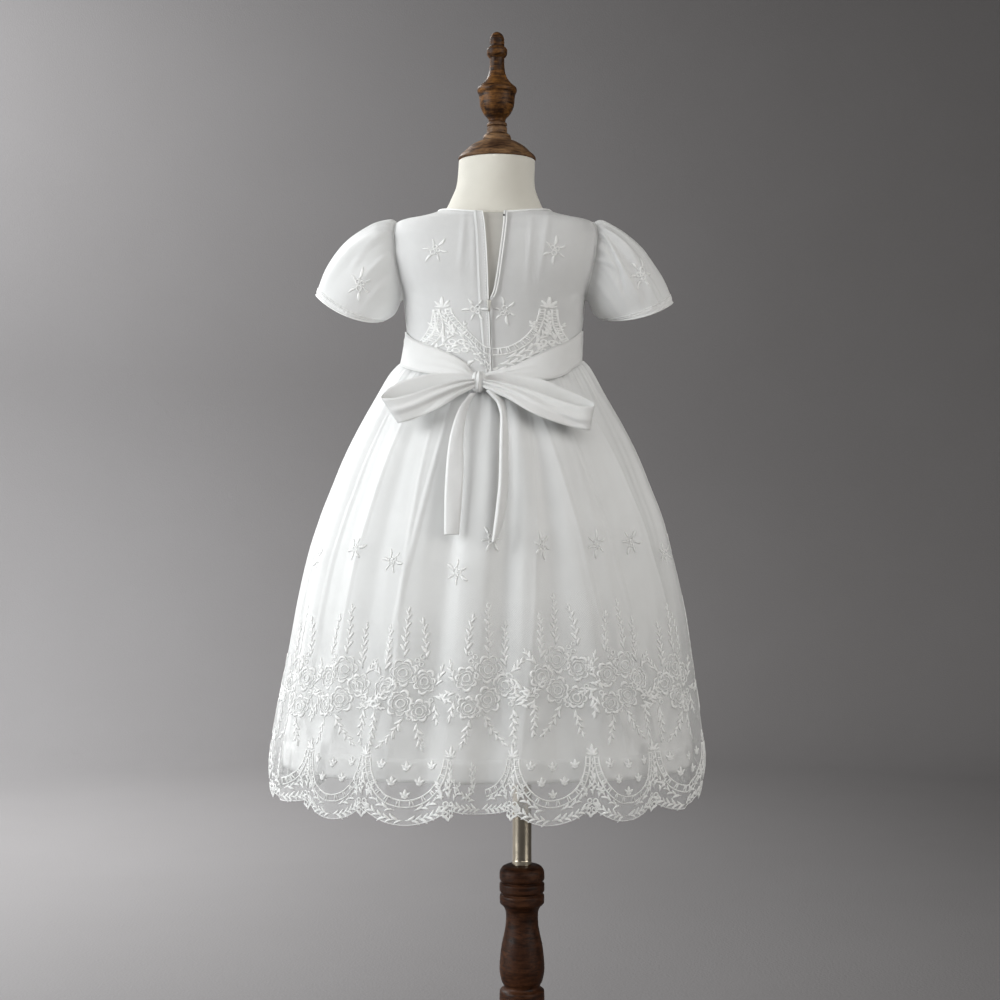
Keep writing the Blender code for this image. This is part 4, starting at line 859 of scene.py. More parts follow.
def loop_grid(name, columns=110, rows=18):
    """A bow loop's middle face: straight between its two edges, with pleats that open from the knot."""
    lines = table(LOOP, LOOP_ROWS[name])
    stations = np.linspace(0, 1, len(lines["out"]))
    share = np.linspace(0, 1, columns)[None, :]
    across = np.linspace(0, 1, rows)[:, None]
    run = {key: smooth(share, stations, value) for key, value in lines.items()}
    x = KNOT[0] + run["upper_x"] * (1 - across) + run["lower_x"] * across
    z = KNOT[2] + run["upper_z"] * (1 - across) + run["lower_z"] * across
    inner_leaf = np.minimum(skirt_back(x, z) - LOOP_CLEAR, KNOT[1] + 0.002)
    front = np.clip((share - 0.5) / 0.15, 0, 1)
    reach = np.abs(x - KNOT[0])
    pleats = np.exp(-((reach - 0.016) / 0.020) ** 2) * (0.5 + 0.5 * np.cos(2 * math.pi * 2.5 * across))
    crease = 0.0018 * front * pleats + 0.0014 * front * bump(across - 0.42 - 3.0 * (reach - 0.05), 0.22)
    return np.stack([x, inner_leaf - run["out"] - crease, z], axis=-1)


def tail_grid(name, rows=120, columns=16):
    """A bow tail's middle face: straight between its two edges, but for a turned lip at its left edge
    that rises as a sine, and a slight roll along its length."""
    lines = table(TAIL, TAIL_ROWS[name])
    stations = np.concatenate([[0], np.cumsum(-np.diff(lines["height"]))])
    fall = np.linspace(0, stations[-1], rows)[:, None]
    across = np.linspace(0, 1, columns)[None, :] ** 1.5
    run = {key: smooth(fall, stations, value) for key, value in lines.items()}
    x = run["left_x"] * (1 - across) + run["right_x"] * across
    out = run["left_out"] * (1 - across) + run["right_out"] * across
    lip = np.sin(np.clip(across / TAIL_LIP[name], 0, 1) * math.pi / 2)
    out = out * (0.25 + 0.45 * lip)
    roll = 0.0006 * np.sin(math.pi * across) * (1 + np.sin(fall * 60))
    y = np.minimum(skirt_back(x, run["height"]) - TAIL_CLEAR, KNOT[1] + 0.004) - out - roll
    return np.stack([x, y, run["height"] + 0 * across], axis=-1)


# ---------------------------------------------------------------- stitches, drawn flat
def heading(degrees):
    """The direction turned from upright towards the right."""
    return np.array([math.sin(math.radians(degrees)), math.cos(math.radians(degrees))])


def leaf(root, degrees, length, fat=0.42, bend=0.10):
    """A satin-stitched leaf: its half width a sine of the way along it, its middle a slight bow."""
    share = np.linspace(0, 1, 6)
    along, side = heading(degrees), heading(degrees + 90)
    path = (np.asarray(root) + np.outer(share * length, along)
            + np.outer(np.sin(share * math.pi) * bend * length, side))
    half_width = fat * length / 2 * np.sin((0.04 + 0.90 * share ** 0.85) * math.pi) ** 0.8
    return path, half_width, STITCH_RISE, False


def line(path, half_width=THREAD, rise=0.0005):
    """A corded line of one width."""
    path = np.asarray(path, dtype=float)
    return path, np.full(len(path), half_width), rise, False


def ringlet(centre, radius, half_width=0.0006):
    """An eyelet ring."""
    turn = np.linspace(0, 2 * math.pi, 12, endpoint=False)
    path = np.asarray(centre) + radius * np.stack([np.sin(turn), np.cos(turn)], axis=-1)
    return path, np.full(12, half_width), STITCH_RISE, True


def along_path(path, count, inset=0.5, crowd=0.0):
    """Evenly spaced places on a path, or closer ones towards its ends, and the path's direction there."""
    length = np.concatenate([[0], np.cumsum(np.hypot(*np.diff(path, axis=0).T))])
    at = (np.arange(count) + inset) / count
    at = (at - crowd * np.sin(2 * math.pi * at)) * length[-1]
    place = np.stack([np.interp(at, length, path[:, 0]), np.interp(at, length, path[:, 1])], axis=-1)
    ahead = np.stack([np.interp(at + 1e-4, length, path[:, 0]),
                      np.interp(at + 1e-4, length, path[:, 1])], axis=-1)
    return place, unit(ahead - place)


def branch(path, count, size, spread=30, fat=0.42, shorten=0.3):
    """A stem with leaves that point along it, on either side in turn and shorter towards the tip, and
    one leaf at the tip itself."""
    strokes = [line(path, 0.00038)]
    places, heads = along_path(np.asarray(path), count, 0.35)
    bearing = 0.0
    for number, (place, head) in enumerate(zip(places, heads)):
        way = 1 if number % 2 else -1
        bearing = math.degrees(math.atan2(*head))
        uneven = 1 + 0.12 * math.sin(2.4 * number + 90 * place[0])
        strokes.append(leaf(place, bearing + spread * way * uneven, size * (1 - shorten * number / count) * uneven,
                            fat, -0.10 * way))
    return strokes + [leaf(path[-1], bearing, size * (1 - shorten), fat, 0.0)]


def spray(root, degrees, length, pairs_count, curl, size=0.0062):
    """A branch on a stem that curls evenly."""
    share = np.linspace(0, 1, 8)
    bearing = np.radians(degrees + curl * (2 * share - 0.5))
    steps = np.stack([np.sin(bearing), np.cos(bearing)], axis=-1)[:-1] * length / 7
    return branch(np.asarray(root) + np.concatenate([[[0, 0]], np.cumsum(steps, axis=0)]), 2 * pairs_count, size)


def rose(centre, radius, turn):
    """A rose: an open heart shaped like a drop, then rounds of crescent petals, some of them filled."""
    share = np.linspace(0, 1, 8)
    strokes = []
    for count, near, bulge, fats in ((0, 0.44, 0.0, (0.00062,)), (4, 0.60, 0.09, (0.0008, 0.0005)),
                                     (7, 0.80, 0.24, (0.0017, 0.0009, 0.0013))):
        if not count:
            angle = np.linspace(0, 2 * math.pi, 16, endpoint=False)
            reach = radius * near * (1 - 0.32 * np.abs(np.sin(angle / 2)) ** 0.7)
            strokes.append((np.asarray(centre) + reach[:, None] * np.stack([np.sin(angle + turn), np.cos(angle + turn)],
                                                                           axis=-1), np.full(16, fats[0]), STITCH_RISE, True))
        for petal in range(count):
            angle = turn + (petal + 0.98 * (share - 0.5)) * 2 * math.pi / count
            reach = radius * (near + bulge * np.sin(share * math.pi)) * (1 + 0.08 * math.sin(petal * 2.2 + turn))
            path = centre + reach[:, None] * np.stack([np.sin(angle), np.cos(angle)], axis=-1)
            half_width = fats[(petal + int(turn)) % len(fats)] * (0.30 + 0.70 * np.sin(share * math.pi))
            strokes.append((path, half_width, STITCH_RISE, False))
    return strokes


def moved(strokes, right, up, turn=0.0, size=1.0):
    """Strokes turned about their middle, sized and moved."""
    cosine, sine = math.cos(turn) * size, math.sin(turn) * size
    matrix = np.array([[cosine, -sine], [sine, cosine]])
    return [(path @ matrix + np.array([right, up]), half_width * size, rise, closed)
            for path, half_width, rise, closed in strokes]


def sprig():
    """A scattered sprig: three eyelets among six leaves of different lengths."""
    strokes = [ringlet(place, radius, 0.0007) for place, radius in (
        ((-0.0006, 0.0030), 0.0018), ((0.0031, 0.0004), 0.0017), ((-0.0014, -0.0020), 0.0023))]
    for degrees, length in ((24, 0.0092), (82, 0.0070), (140, 0.0060), (204, 0.0088), (262, 0.0074), (330, 0.0058)):
        strokes.append(leaf(heading(degrees) * 0.0050, degrees + 9, length, 0.36))
        strokes.append(line([heading(degrees) * 0.0034, heading(degrees) * 0.0056]))
    return strokes


def crown():
    """A small crown: three leaves that stand in a rounded cup."""
    return [leaf((0, 0), degrees, length, 0.50, 0.0)
            for degrees, length in ((-50, 0.0048), (0, 0.0056), (50, 0.0048))] + [
                line([(-0.0022, 0.0002), (0, -0.0012), (0.0022, 0.0002)], 0.0009)]


def bouquet():
    """Five roses with sprays above, beside and below them, and eyelets between."""
    strokes = []
    for right, up, radius, turn in ROSE_ROWS:
        strokes += rose((right, up), radius, turn)
    for right, up, degrees, length, count, curl in SPRAY_ROWS:
        strokes += spray((right, up), degrees, length, int(count), curl, 0.0078)
    return strokes + [ringlet(place, 0.0019) for place in BOUQUET_RINGS]


def hem_edge(share, depth):
    """Height of the hem over its lowest point, across one scallop."""
    return max(row[1] for row in SCALLOP_ROWS) - depth * np.sin(math.pi * np.clip(share, 0, 1)) ** 0.8


def arc(left, low, turn, out=0.0):
    """The line of a ladder arc: half an ellipse hung between two cusps, or a line that runs outside it.
    Also its direction."""
    path = np.stack([left + LACE_REPEAT / 2 - (LACE_REPEAT / 2 - 0.0040) * np.cos(turn),
                     LADDER_TOP - (LADDER_TOP - low) * np.sin(turn)], axis=-1)
    direction = unit(np.gradient(path, axis=0))
    return path + np.stack([direction[:, 1], -direction[:, 0]], axis=-1) * np.asarray(out)[..., None], direction


def ladder(left, low, start=0.0, squares=LADDER_SQUARES):
    """An arc of ladder stitch from cusp to cusp: two cords, and squares between them that have a bar of
    their own on either side. start is the share of the arc that is left out at its beginning."""
    turn = np.linspace(math.pi * start, math.pi, 34)
    half = LADDER_HALF * (0.60 + 0.40 * np.sin(turn))
    strokes = [line(arc(left, low, turn, half * way)[0], 0.0008, 0.0006) for way in (-1, 1)]
    places, heads = along_path(arc(left, low, turn)[0], round(squares * (1 - start)), 0.5, 0.03)
    pitch = np.linalg.norm(np.gradient(places, axis=0), axis=1)
    for place, head, gap in zip(places, heads, pitch):
        reach = LADDER_HALF * np.interp(place[1], (low, LADDER_TOP), (1.0, 0.6))
        across = np.array([head[1], -head[0]]) * reach
        for shift in (-0.5, 0.5):
            bar = place + head * (gap - 0.0020) * shift
            strokes.append(line([bar - across, bar, bar + across], 0.00060, 0.0006))
    return strokes


def cusp(left, low, low_before, rings=0.0, rows=1):
    """What fills the space between two ladder arcs: a fan, an upright spray, a branch under each arc, a
    cluster of rings, and leaves that point down to the hem's edge."""
    strokes = [leaf((left, 0.0640), degrees, length, 0.36, 0.0)
               for degrees, length in ((-68, 0.0060), (-36, 0.0086), (0, 0.0108), (36, 0.0086), (68, 0.0060))]
    strokes += spray((left, 0.0270 + rings), 0, 0.0300 - rings, 5, 0, 0.0064)
    for way, foot in ((-1, low_before), (1, low)):
        for row in range(rows):
            turn = np.linspace(0.44 + 0.05 * row, 0.13 + 0.10 * row, 12) * math.pi
            under, _ = arc(0.0, foot, turn, -0.0066 - 0.0056 * row)
            strokes += branch(under * np.array([way, 1]) + np.array([left, 0]), 10, 0.0074, 26, 0.38)
        strokes += spray((left + way * 0.0055, 0.0250 + rings), 20 * way, 0.0150, 3, 6 * way, 0.0060)
    for right, up in ((-0.0028, 0.0222), (0.0028, 0.0218), (-0.0054, 0.0178), (0.0056, 0.0174), (-0.0028, 0.0132),
                      (0.0026, 0.0136)):
        strokes.append(ringlet((left + right, up + rings), 0.0020, 0.0007))
    return strokes + [leaf((left + 0.00010 * (degrees - 180), 0.0120), degrees, 0.0064, 0.40, 0.0)
                      for degrees in (122, 152, 208, 238)]


def garland(left, depth):
    """A laurel garland along the hem's edge, its leaves pointing up from the scallop's lowest point, and
    the edge's fine cord."""
    share = np.linspace(0, 1, 25)
    strokes = [line(np.stack([left + LACE_REPEAT * share, hem_edge(share, depth) + 0.0004], axis=-1), 0.0004)]
    for way in (-1, 1):
        part = np.linspace(0.5 + 0.015 * way, 0.5 + 0.42 * way, 14)
        stem = np.stack([left + LACE_REPEAT * part, hem_edge(part, depth) + 0.0048], axis=-1)
        strokes += branch(stem, 10, 0.0082, 34, 0.36, 0.10)
    return strokes


CROWN_PLACES = ((0.22, 0.0545), (0.50, 0.0525), (0.78, 0.0545), (0.35, 0.0390), (0.65, 0.0390), (0.50, 0.0270))


def hem_lace():
    """The whole border: a repeat for each scallop of the hem. A repeat that is folded away under its
    neighbour has a shallower scallop and less of its ladder."""
    strokes = []
    depths = [depth for _, depth in SCALLOP_ROWS]
    lows = [LADDER_LOW + 0.9 * (max(depths) - depth) for depth in depths]
    for number, (depth, low) in enumerate(zip(depths, lows)):
        left = number * LACE_REPEAT
        folded = depth < 0.5 * max(depths)
        strokes += cusp(left, low, lows[number - 1]) + garland(left, depth)
        strokes += ladder(left, low, 0.55 if folded else 0.0)
        if folded:
            strokes += spray((left + 0.020, 0.024), 24, 0.030, 4, -10) + spray((left + 0.030, 0.030), -10, 0.026, 4, 6)
            continue
        for share, up in CROWN_PLACES:
            if up > low + 0.006:
                strokes += moved(crown(), left + share * LACE_REPEAT, up, 0.0, 1.2)
    return strokes


def dashes(path, pitch=0.0026):
    """A line of running stitches along a path."""
    length = np.sum(np.hypot(*np.diff(path, axis=0).T))
    places, heads = along_path(path, max(2, int(length / pitch)))
    return [line([place - head * pitch * 0.33, place, place + head * pitch * 0.33], 0.00022, 0.00025)
            for place, head in zip(places, heads)]


# ---------------------------------------------------------------- stitches, laid on cloth
SECTION = np.array([(-1.0, -0.35), (-0.45, 0.9), (0.45, 0.9), (1.0, -0.35)])


def raised(strokes):
    """Every stroke as a closed raised band: a four-cornered section carried along its path. Returns
    flat places with their height off the cloth, faces, and the threads' own places."""
    groups = {}
    for path, half_width, rise, closed in strokes:
        groups.setdefault((len(path), closed), []).append((path, half_width, rise))
    places, faces, threads, total = [], [], [], 0
    for (count, closed), group in groups.items():
        path = np.stack([item[0] for item in group])
        half_width = np.stack([item[1] for item in group])[..., None]
        rise = np.array([item[2] for item in group])[:, None, None]
        if closed:
            ahead = np.roll(path, -1, axis=1) - np.roll(path, 1, axis=1)
        else:
            ahead = np.gradient(path, axis=1)
        ahead = unit(ahead)[:, :, None]
        side = np.stack([ahead[..., 1], -ahead[..., 0]], axis=-1)
        flat = path[:, :, None] + side * (half_width * SECTION[:, 0])[..., None]
        height = rise * SECTION[:, 1] * np.minimum(1, half_width / THREAD) + 0 * flat[..., 0]
        places.append(np.concatenate([flat, height[..., None]], axis=-1).reshape(-1, 3))
        run = np.cumsum(np.linalg.norm(np.diff(path, axis=1, prepend=path[:, :1]), axis=-1), axis=1)
        threads.append(np.stack(np.broadcast_arrays(run[..., None], half_width * SECTION[:, 0]),
                                axis=-1).reshape(-1, 2))
        index = total + np.arange(len(group) * count * 4).reshape(len(group), count, 4)
        ring = np.concatenate([index, index[:, :, :1]], axis=2)
        if closed:
            ring = np.concatenate([ring, ring[:, :1]], axis=1)
        corners = (ring[:, :-1, :-1], ring[:, :-1, 1:], ring[:, 1:, 1:], ring[:, 1:, :-1])
        faces.append(np.stack(corners, axis=-1).reshape(-1, 4))
        if not closed:
            faces.append(end_caps(index[:, 0], index[:, -1]))
        total += index.size
    return np.concatenate(places), np.concatenate(faces), np.concatenate(threads)


def sewn(name, strokes, surface, finish, spots=((0.0, 0.0, 0.0),)):
    """Strokes laid on a cloth, once at each spot (right, up, turn). surface gives the cloth's points for
    flat places; the stitches stand out along the normal that it has there."""
    flat, faces, threads = raised(strokes)
    spots = np.asarray(spots, dtype=float)
    cosine, sine = np.cos(spots[:, 2:3]), np.sin(spots[:, 2:3])
    right = flat[:, 0] * cosine + flat[:, 1] * sine
    up = flat[:, 1] * cosine - flat[:, 0] * sine
    step = 3e-4

    def place(shift_right, shift_up):
        return surface(spots[:, 0:1], spots[:, 1:2], right + shift_right, up + shift_up)

    normal = unit(np.cross(place(step, 0) - place(-step, 0), place(0, step) - place(0, -step)))
    points = place(0, 0) + normal * flat[:, 2][None, :, None]
    copies = np.arange(len(spots))[:, None, None] * len(flat) + faces[None]
    return put_mesh(name, points, copies.reshape(-1, 4), finish, np.tile(threads, (len(spots), 1)))


def on_hem(_, __, right, up):
    """The hem's lace on the overlay: repeats along it become the turns of its cusps."""
    ends = [row[0] for row in SCALLOP_ROWS]
    ends = [ends[-1] - 360] + ends + [ends[0] + 360, ends[1] + 360]
    turn = np.interp(right / LACE_REPEAT, np.arange(-1, len(ends) - 1), ends)
    return overlay_point(turn, HEM + up, 0.0002)


def on_skirt(turn, height, right, up):
    """A motif on the overlay about a turn and a height."""
    return overlay_point(turn + right / skirt_reach(turn), height + up, 0.0002)


def on_bodice(face):
    """A motif on the bodice's back or front about an x and a height; right is as seen from outside."""
    def surface(x, height, right, up):
        height = height + up
        angle = facing_angle(x - face * right, height, face)
        out = EASE + CLOTH + 0.0001
        offset = x - face * right - smooth(level_at(height), BODY_LEVEL, BODY_TABLE["middle"])
        edge = opening("left_edge", height)
        on_placket = (offset < edge) & (offset > edge - opening("placket", height)) & (face < 0)
        return bodice_point(level_at(height), angle, out + np.where(on_placket, LAID_ON + STRIP, 0.0))
    return surface


def on_sleeve(name):
    """A motif on a sleeve about a share of the way to the cuff and a turn from the top to the back."""
    side = SIDES[name]

    def surface(share, turn, right, up):
        return sleeve_point(name, share + side * right / 0.095, turn - up * 360 / 0.24, 0.0001)
    return surface


# ---------------------------------------------------------------- finishes
def join(tree, value, socket):
    """A link where value is a socket, and a plain setting where it isn't."""
    if isinstance(value, bpy.types.NodeSocket):
        tree.links.new(value, socket)
    else:
        socket.default_value = value


def node(tree, kind, inputs=(), **settings):
    """A shader node with its settings and its inputs, by name or number."""
    made = tree.nodes.new("ShaderNode" + kind)
    for key, value in settings.items():
        setattr(made, key, value)
    for key, value in dict(inputs).items():
        join(tree, value, made.inputs[key])
    return made


def calc(tree, operation, *values, clamp=False):
    """A number worked out by a Math node."""
    return node(tree, "Math", dict(enumerate(values)), operation=operation, use_clamp=clamp).outputs[0]


def effect(name, inputs, outputs):
    """An empty shader node group with named sockets; returns it with its two ends."""
    tree = bpy.data.node_groups.new(name, "ShaderNodeTree")
    for label, kind, value in inputs:
        socket = tree.interface.new_socket(name=label, in_out="INPUT", socket_type="NodeSocket" + kind)
        if value is not None:
            socket.default_value = value
    for label in outputs:
        tree.interface.new_socket(name=label, in_out="OUTPUT", socket_type="NodeSocketFloat")
    return tree, tree.nodes.new("NodeGroupInput"), tree.nodes.new("NodeGroupOutput")


def wave(tree, value, pitch):
    """A soft wave of a value: one whole turn a pitch."""
    return calc(tree, "SINE", calc(tree, "MULTIPLY", calc(tree, "DIVIDE", value, pitch), 2 * math.pi))


def make_weave():
    """Plain weave: the product of two waves, one along the warp and one along the weft."""
    tree, start, end = effect("plain_weave", (("Vector", "Vector", None), ("Warp", "Float", 0.0005),
                                              ("Weft", "Float", 0.0005)), ("Height",))
    flat = node(tree, "SeparateXYZ", {0: start.outputs["Vector"]})
    height = calc(tree, "MULTIPLY", wave(tree, flat.outputs[0], start.outputs["Warp"]),
                  wave(tree, flat.outputs[1], start.outputs["Weft"]))
    join(tree, height, end.inputs["Height"])
    return tree


def make_net():
    """Net: threads where the folded sum or difference of the two flat places nears its crest."""
    tree, start, end = effect("net_mesh", (("Vector", "Vector", None), ("Pitch", "Float", 0.001),
                                           ("Thread", "Float", 0.3)), ("Mask", "Height"))
    flat = node(tree, "SeparateXYZ", {0: start.outputs["Vector"]})
    crests = []
    for operation in ("ADD", "SUBTRACT"):
        diagonal = calc(tree, operation, flat.outputs[0], calc(tree, "MULTIPLY", flat.outputs[1], 0.7))
        folded = calc(tree, "PINGPONG", calc(tree, "DIVIDE", diagonal, start.outputs["Pitch"]), 0.5)
        crests.append(calc(tree, "MULTIPLY", folded, 2.0))
    crest = calc(tree, "MAXIMUM", *crests)
    edge = calc(tree, "SUBTRACT", 1.0, start.outputs["Thread"])
    mask = calc(tree, "DIVIDE", calc(tree, "SUBTRACT", crest, edge), start.outputs["Thread"], clamp=True)
    join(tree, mask, end.inputs["Mask"])
    join(tree, crest, end.inputs["Height"])
    return tree


def make_stitch():
    """Satin stitch: fine threads that slant across a stroke. Its Shade darkens the colour in the valley
    between them: painted shade.
    """
    tree, start, end = effect("satin_stitch", (("Vector", "Vector", None), ("Pitch", "Float", 0.0004)),
                              ("Height", "Shade"))
    flat = node(tree, "SeparateXYZ", {0: start.outputs["Vector"]})
    slant = calc(tree, "ADD", flat.outputs[0],
                 calc(tree, "MULTIPLY", calc(tree, "ABSOLUTE", flat.outputs[1]), 0.7))
    height = calc(tree, "MULTIPLY_ADD", wave(tree, slant, start.outputs["Pitch"]), 0.5, 0.5)
    join(tree, height, end.inputs["Height"])
    # painted shade: Shade is darker in the valleys between the threads
    join(tree, calc(tree, "POWER", height, 0.5), end.inputs["Shade"])
    return tree


def make_mottle():
    """Soft unevenness: two sizes of noise, spread about a half and kept between 0 and 1."""
    tree, start, end = effect("soft_mottle", (("Vector", "Vector", None), ("Scale", "Float", 10.0),
                                              ("Spread", "Float", 1.0)), ("Value",))
    broad = node(tree, "TexNoise", {"Vector": start.outputs["Vector"], "Scale": start.outputs["Scale"],
                                    "Detail": 2.0}).outputs[0]
    close = node(tree, "TexNoise", {"Vector": start.outputs["Vector"], "Detail": 3.0,
                                    "Scale": calc(tree, "MULTIPLY", start.outputs["Scale"], 7.0)}).outputs[0]
    both = calc(tree, "ADD", calc(tree, "MULTIPLY", broad, 0.7), calc(tree, "MULTIPLY", close, 0.3))
    value = calc(tree, "MULTIPLY_ADD", calc(tree, "SUBTRACT", both, 0.5),
                 calc(tree, "MULTIPLY", start.outputs["Spread"], 2.5), 0.5, clamp=True)
    join(tree, value, end.inputs["Value"])
    return tree


def make_grain():
    """Turned wood's grain: noise drawn out across the piece, with fine dark pores."""
    tree, start, end = effect("turned_grain", (("Vector", "Vector", None), ("Scale", "Float", 1.0)),
                              ("Grain", "Pores"))
    drawn = node(tree, "VectorMath", {0: start.outputs["Vector"], 1: (60.0, 120.0, 330.0)},
                 operation="MULTIPLY").outputs[0]
    grain = node(tree, "TexNoise", {"Vector": drawn, "Scale": start.outputs["Scale"], "Detail": 5.0,
                                    "Distortion": 0.6}).outputs[0]
    pores = node(tree, "TexNoise", {"Vector": drawn, "Detail": 2.0,
                                    "Scale": calc(tree, "MULTIPLY", start.outputs["Scale"], 3.0)}).outputs[0]
    join(tree, calc(tree, "MULTIPLY_ADD", calc(tree, "SUBTRACT", grain, 0.5), 3.0, 0.5, clamp=True),
         end.inputs["Grain"])
    join(tree, calc(tree, "MULTIPLY_ADD", calc(tree, "SUBTRACT", 0.42, pores), 9.0, 0.0, clamp=True),
         end.inputs["Pores"])
    return tree


WEAVE, NET, STITCH, MOTTLE, GRAIN = make_weave(), make_net(), make_stitch(), make_mottle(), make_grain()


def finish(name, **constants):
    """A new material; constants are set on its shader's own sockets. Returns it, its tree, its shader
    and its two sets of places: flat on the cloth, and in the object."""
    made = bpy.data.materials.new(name)
    made.use_nodes = True
    tree = made.node_tree
    shader = tree.nodes["Principled BSDF"]
    for key, value in constants.items():
        shader.inputs[key.replace("_", " ")].default_value = value
    places = node(tree, "TexCoord")
    return made, tree, shader, places.outputs["UV"], places.outputs["Object"]


def use(tree, group, **inputs):
    """An effect placed in a material with its own values."""
    placed = tree.nodes.new("ShaderNodeGroup")
    placed.node_tree = group
    for key, value in inputs.items():
        join(tree, value, placed.inputs[key])
    return placed.outputs


def between(tree, share, first, second):
    """A colour between two."""
    return node(tree, "Mix", {0: share, 6: first, 7: second}, data_type="RGBA").outputs[2]


def raise_by(tree, shader, height, distance, strength=1.0):
    join(tree, node(tree, "Bump", {"Height": height, "Distance": distance, "Strength": strength}).outputs[0],
         shader.inputs["Normal"])


def woven(name, colour, shade, roughness, warp, weft, rise, **constants):
    """Woven cloth: its weave as fine relief, and a soft unevenness of colour and roughness."""
    made, tree, shader, flat, place = finish(name, **constants)
    weave = use(tree, WEAVE, Vector=flat, Warp=warp, Weft=weft)["Height"]
    mottle = use(tree, MOTTLE, Vector=place, Scale=14.0)["Value"]
    tone = calc(tree, "MULTIPLY_ADD", weave, 0.06, calc(tree, "MULTIPLY", mottle, 0.94), clamp=True)
    join(tree, between(tree, tone, (*shade, 1), (*colour, 1)), shader.inputs["Base Color"])
    join(tree, calc(tree, "MULTIPLY_ADD", mottle, 0.12, roughness - 0.06), shader.inputs["Roughness"])
    raise_by(tree, shader, weave, rise)
    return made


def net_cloth(name, colour, hole, thread, roughness, gathered=0.0, **constants):
    """Net that lets what lies behind it show through: clear at its holes, denser on its threads, and
    denser again up a skirt, where it is gathered."""
    made, tree, shader, flat, place = finish(name, **constants)
    net = use(tree, NET, Vector=flat, Pitch=0.0011, Thread=0.45)
    mottle = use(tree, MOTTLE, Vector=place, Scale=9.0)["Value"]
    height = node(tree, "SeparateXYZ", {0: place}).outputs[2]
    closer = node(tree, "MapRange", {"Value": height, "From Min": 0.375, "From Max": 0.62,
                                     "To Max": gathered}).outputs[0]
    low = calc(tree, "MULTIPLY_ADD", mottle, 0.06, calc(tree, "ADD", closer, hole - 0.03))
    join(tree, calc(tree, "MULTIPLY_ADD", net["Mask"], thread - hole, low, clamp=True), shader.inputs["Alpha"])
    tone = calc(tree, "MULTIPLY_ADD", net["Height"], 0.25, calc(tree, "MULTIPLY", mottle, 0.75), clamp=True)
    join(tree, between(tree, tone, tuple(0.94 * part for part in colour) + (1,), (*colour, 1)),
         shader.inputs["Base Color"])
    join(tree, calc(tree, "MULTIPLY_ADD", mottle, 0.1, roughness - 0.05), shader.inputs["Roughness"])
    raise_by(tree, shader, net["Height"], 0.00015, 0.7)
    return made


def lined_net():
    """The bodice's cloth: net laid close over a lining, so its threads show as a faint mesh. Its greys are
    darker than the skirt's net and lining: painted shade.
    """
    made, tree, shader, flat, place = finish("bodice_cloth_painted_shade", Sheen_Weight=0.25, Sheen_Roughness=0.5)
    net = use(tree, NET, Vector=flat, Pitch=0.0011, Thread=0.45)
    weave = use(tree, WEAVE, Vector=flat, Warp=0.0004, Weft=0.0005)["Height"]
    mottle = use(tree, MOTTLE, Vector=place, Scale=16.0)["Value"]
    tone = calc(tree, "MULTIPLY_ADD", net["Mask"], 0.35, calc(tree, "MULTIPLY", mottle, 0.65), clamp=True)
    # painted shade: these greys sit darker than the skirt's net and lining
    join(tree, between(tree, tone, (0.62, 0.62, 0.615, 1), (0.71, 0.71, 0.705, 1)), shader.inputs["Base Color"])
    join(tree, calc(tree, "MULTIPLY_ADD", mottle, 0.1, 0.6), shader.inputs["Roughness"])
    raise_by(tree, shader, calc(tree, "MULTIPLY_ADD", weave, 0.2, net["Mask"]), 0.0002, 0.8)
    return made


def stitched(name, colour, shade, pitch):
    """Embroidery: slanting satin stitch on raised strokes, its colour painted darker towards shade in the
    stitch's valleys: painted shade.
    """
    made, tree, shader, flat, place = finish(name, Sheen_Weight=0.2, Sheen_Roughness=0.4)
    stitch = use(tree, STITCH, Vector=flat, Pitch=pitch)
    mottle = use(tree, MOTTLE, Vector=place, Scale=40.0)["Value"]
    # painted shade: the thread darkens towards its shade colour in the valleys between its stitches
    tone = calc(tree, "MULTIPLY_ADD", stitch["Shade"], 0.75, calc(tree, "MULTIPLY", mottle, 0.25), clamp=True)
    join(tree, between(tree, tone, (*shade, 1), (*colour, 1)), shader.inputs["Base Color"])
    join(tree, calc(tree, "MULTIPLY_ADD", mottle, 0.15, 0.38), shader.inputs["Roughness"])
    raise_by(tree, shader, stitch["Height"], 0.0001)
    return made


def wood(name, dark, light, patch, coat):
    """Stained turned wood: grain across the turning, pores, paler patches, turning marks as fine rings,
    and a paler colour on its sharpest rounds, under a thin lacquer."""
    made, tree, shader, flat, place = finish(name, Coat_Roughness=0.30, Specular_IOR_Level=0.12)
    grain = use(tree, GRAIN, Vector=place, Scale=1.0)
    convexity = node(tree, "NewGeometry").outputs["Pointiness"]
    sharp_rounds = calc(tree, "MULTIPLY_ADD", calc(tree, "SUBTRACT", convexity, 0.52), 6.0, 0.0, clamp=True)
    mottle = use(tree, MOTTLE, Vector=place, Scale=44.0, Spread=1.8)["Value"]
    rings = node(tree, "TexNoise", {"Vector": node(tree, "VectorMath", {0: place, 1: (6.0, 6.0, 900.0)},
                                                   operation="MULTIPLY").outputs[0], "Scale": 1.0}).outputs[0]
    colour = between(tree, grain["Grain"], (*dark, 1), (*light, 1))
    colour = between(tree, calc(tree, "MULTIPLY", mottle, calc(tree, "MULTIPLY", grain["Grain"], 0.8)), colour, (*patch, 1))
    colour = between(tree, calc(tree, "MULTIPLY", sharp_rounds, 0.35), colour, (*patch, 1))
    colour = between(tree, calc(tree, "MULTIPLY", grain["Pores"], 0.5), colour, (*(0.4 * part for part in dark), 1))
    join(tree, colour, shader.inputs["Base Color"])
    join(tree, calc(tree, "MULTIPLY_ADD", grain["Grain"], 0.16, 0.42), shader.inputs["Roughness"])
    join(tree, calc(tree, "MULTIPLY_ADD", mottle, 0.05, coat), shader.inputs["Coat Weight"])
    relief = calc(tree, "SUBTRACT", grain["Grain"], grain["Pores"])
    raise_by(tree, shader, calc(tree, "MULTIPLY_ADD", rings, 0.8, relief), 0.00012, 0.6)
    return made


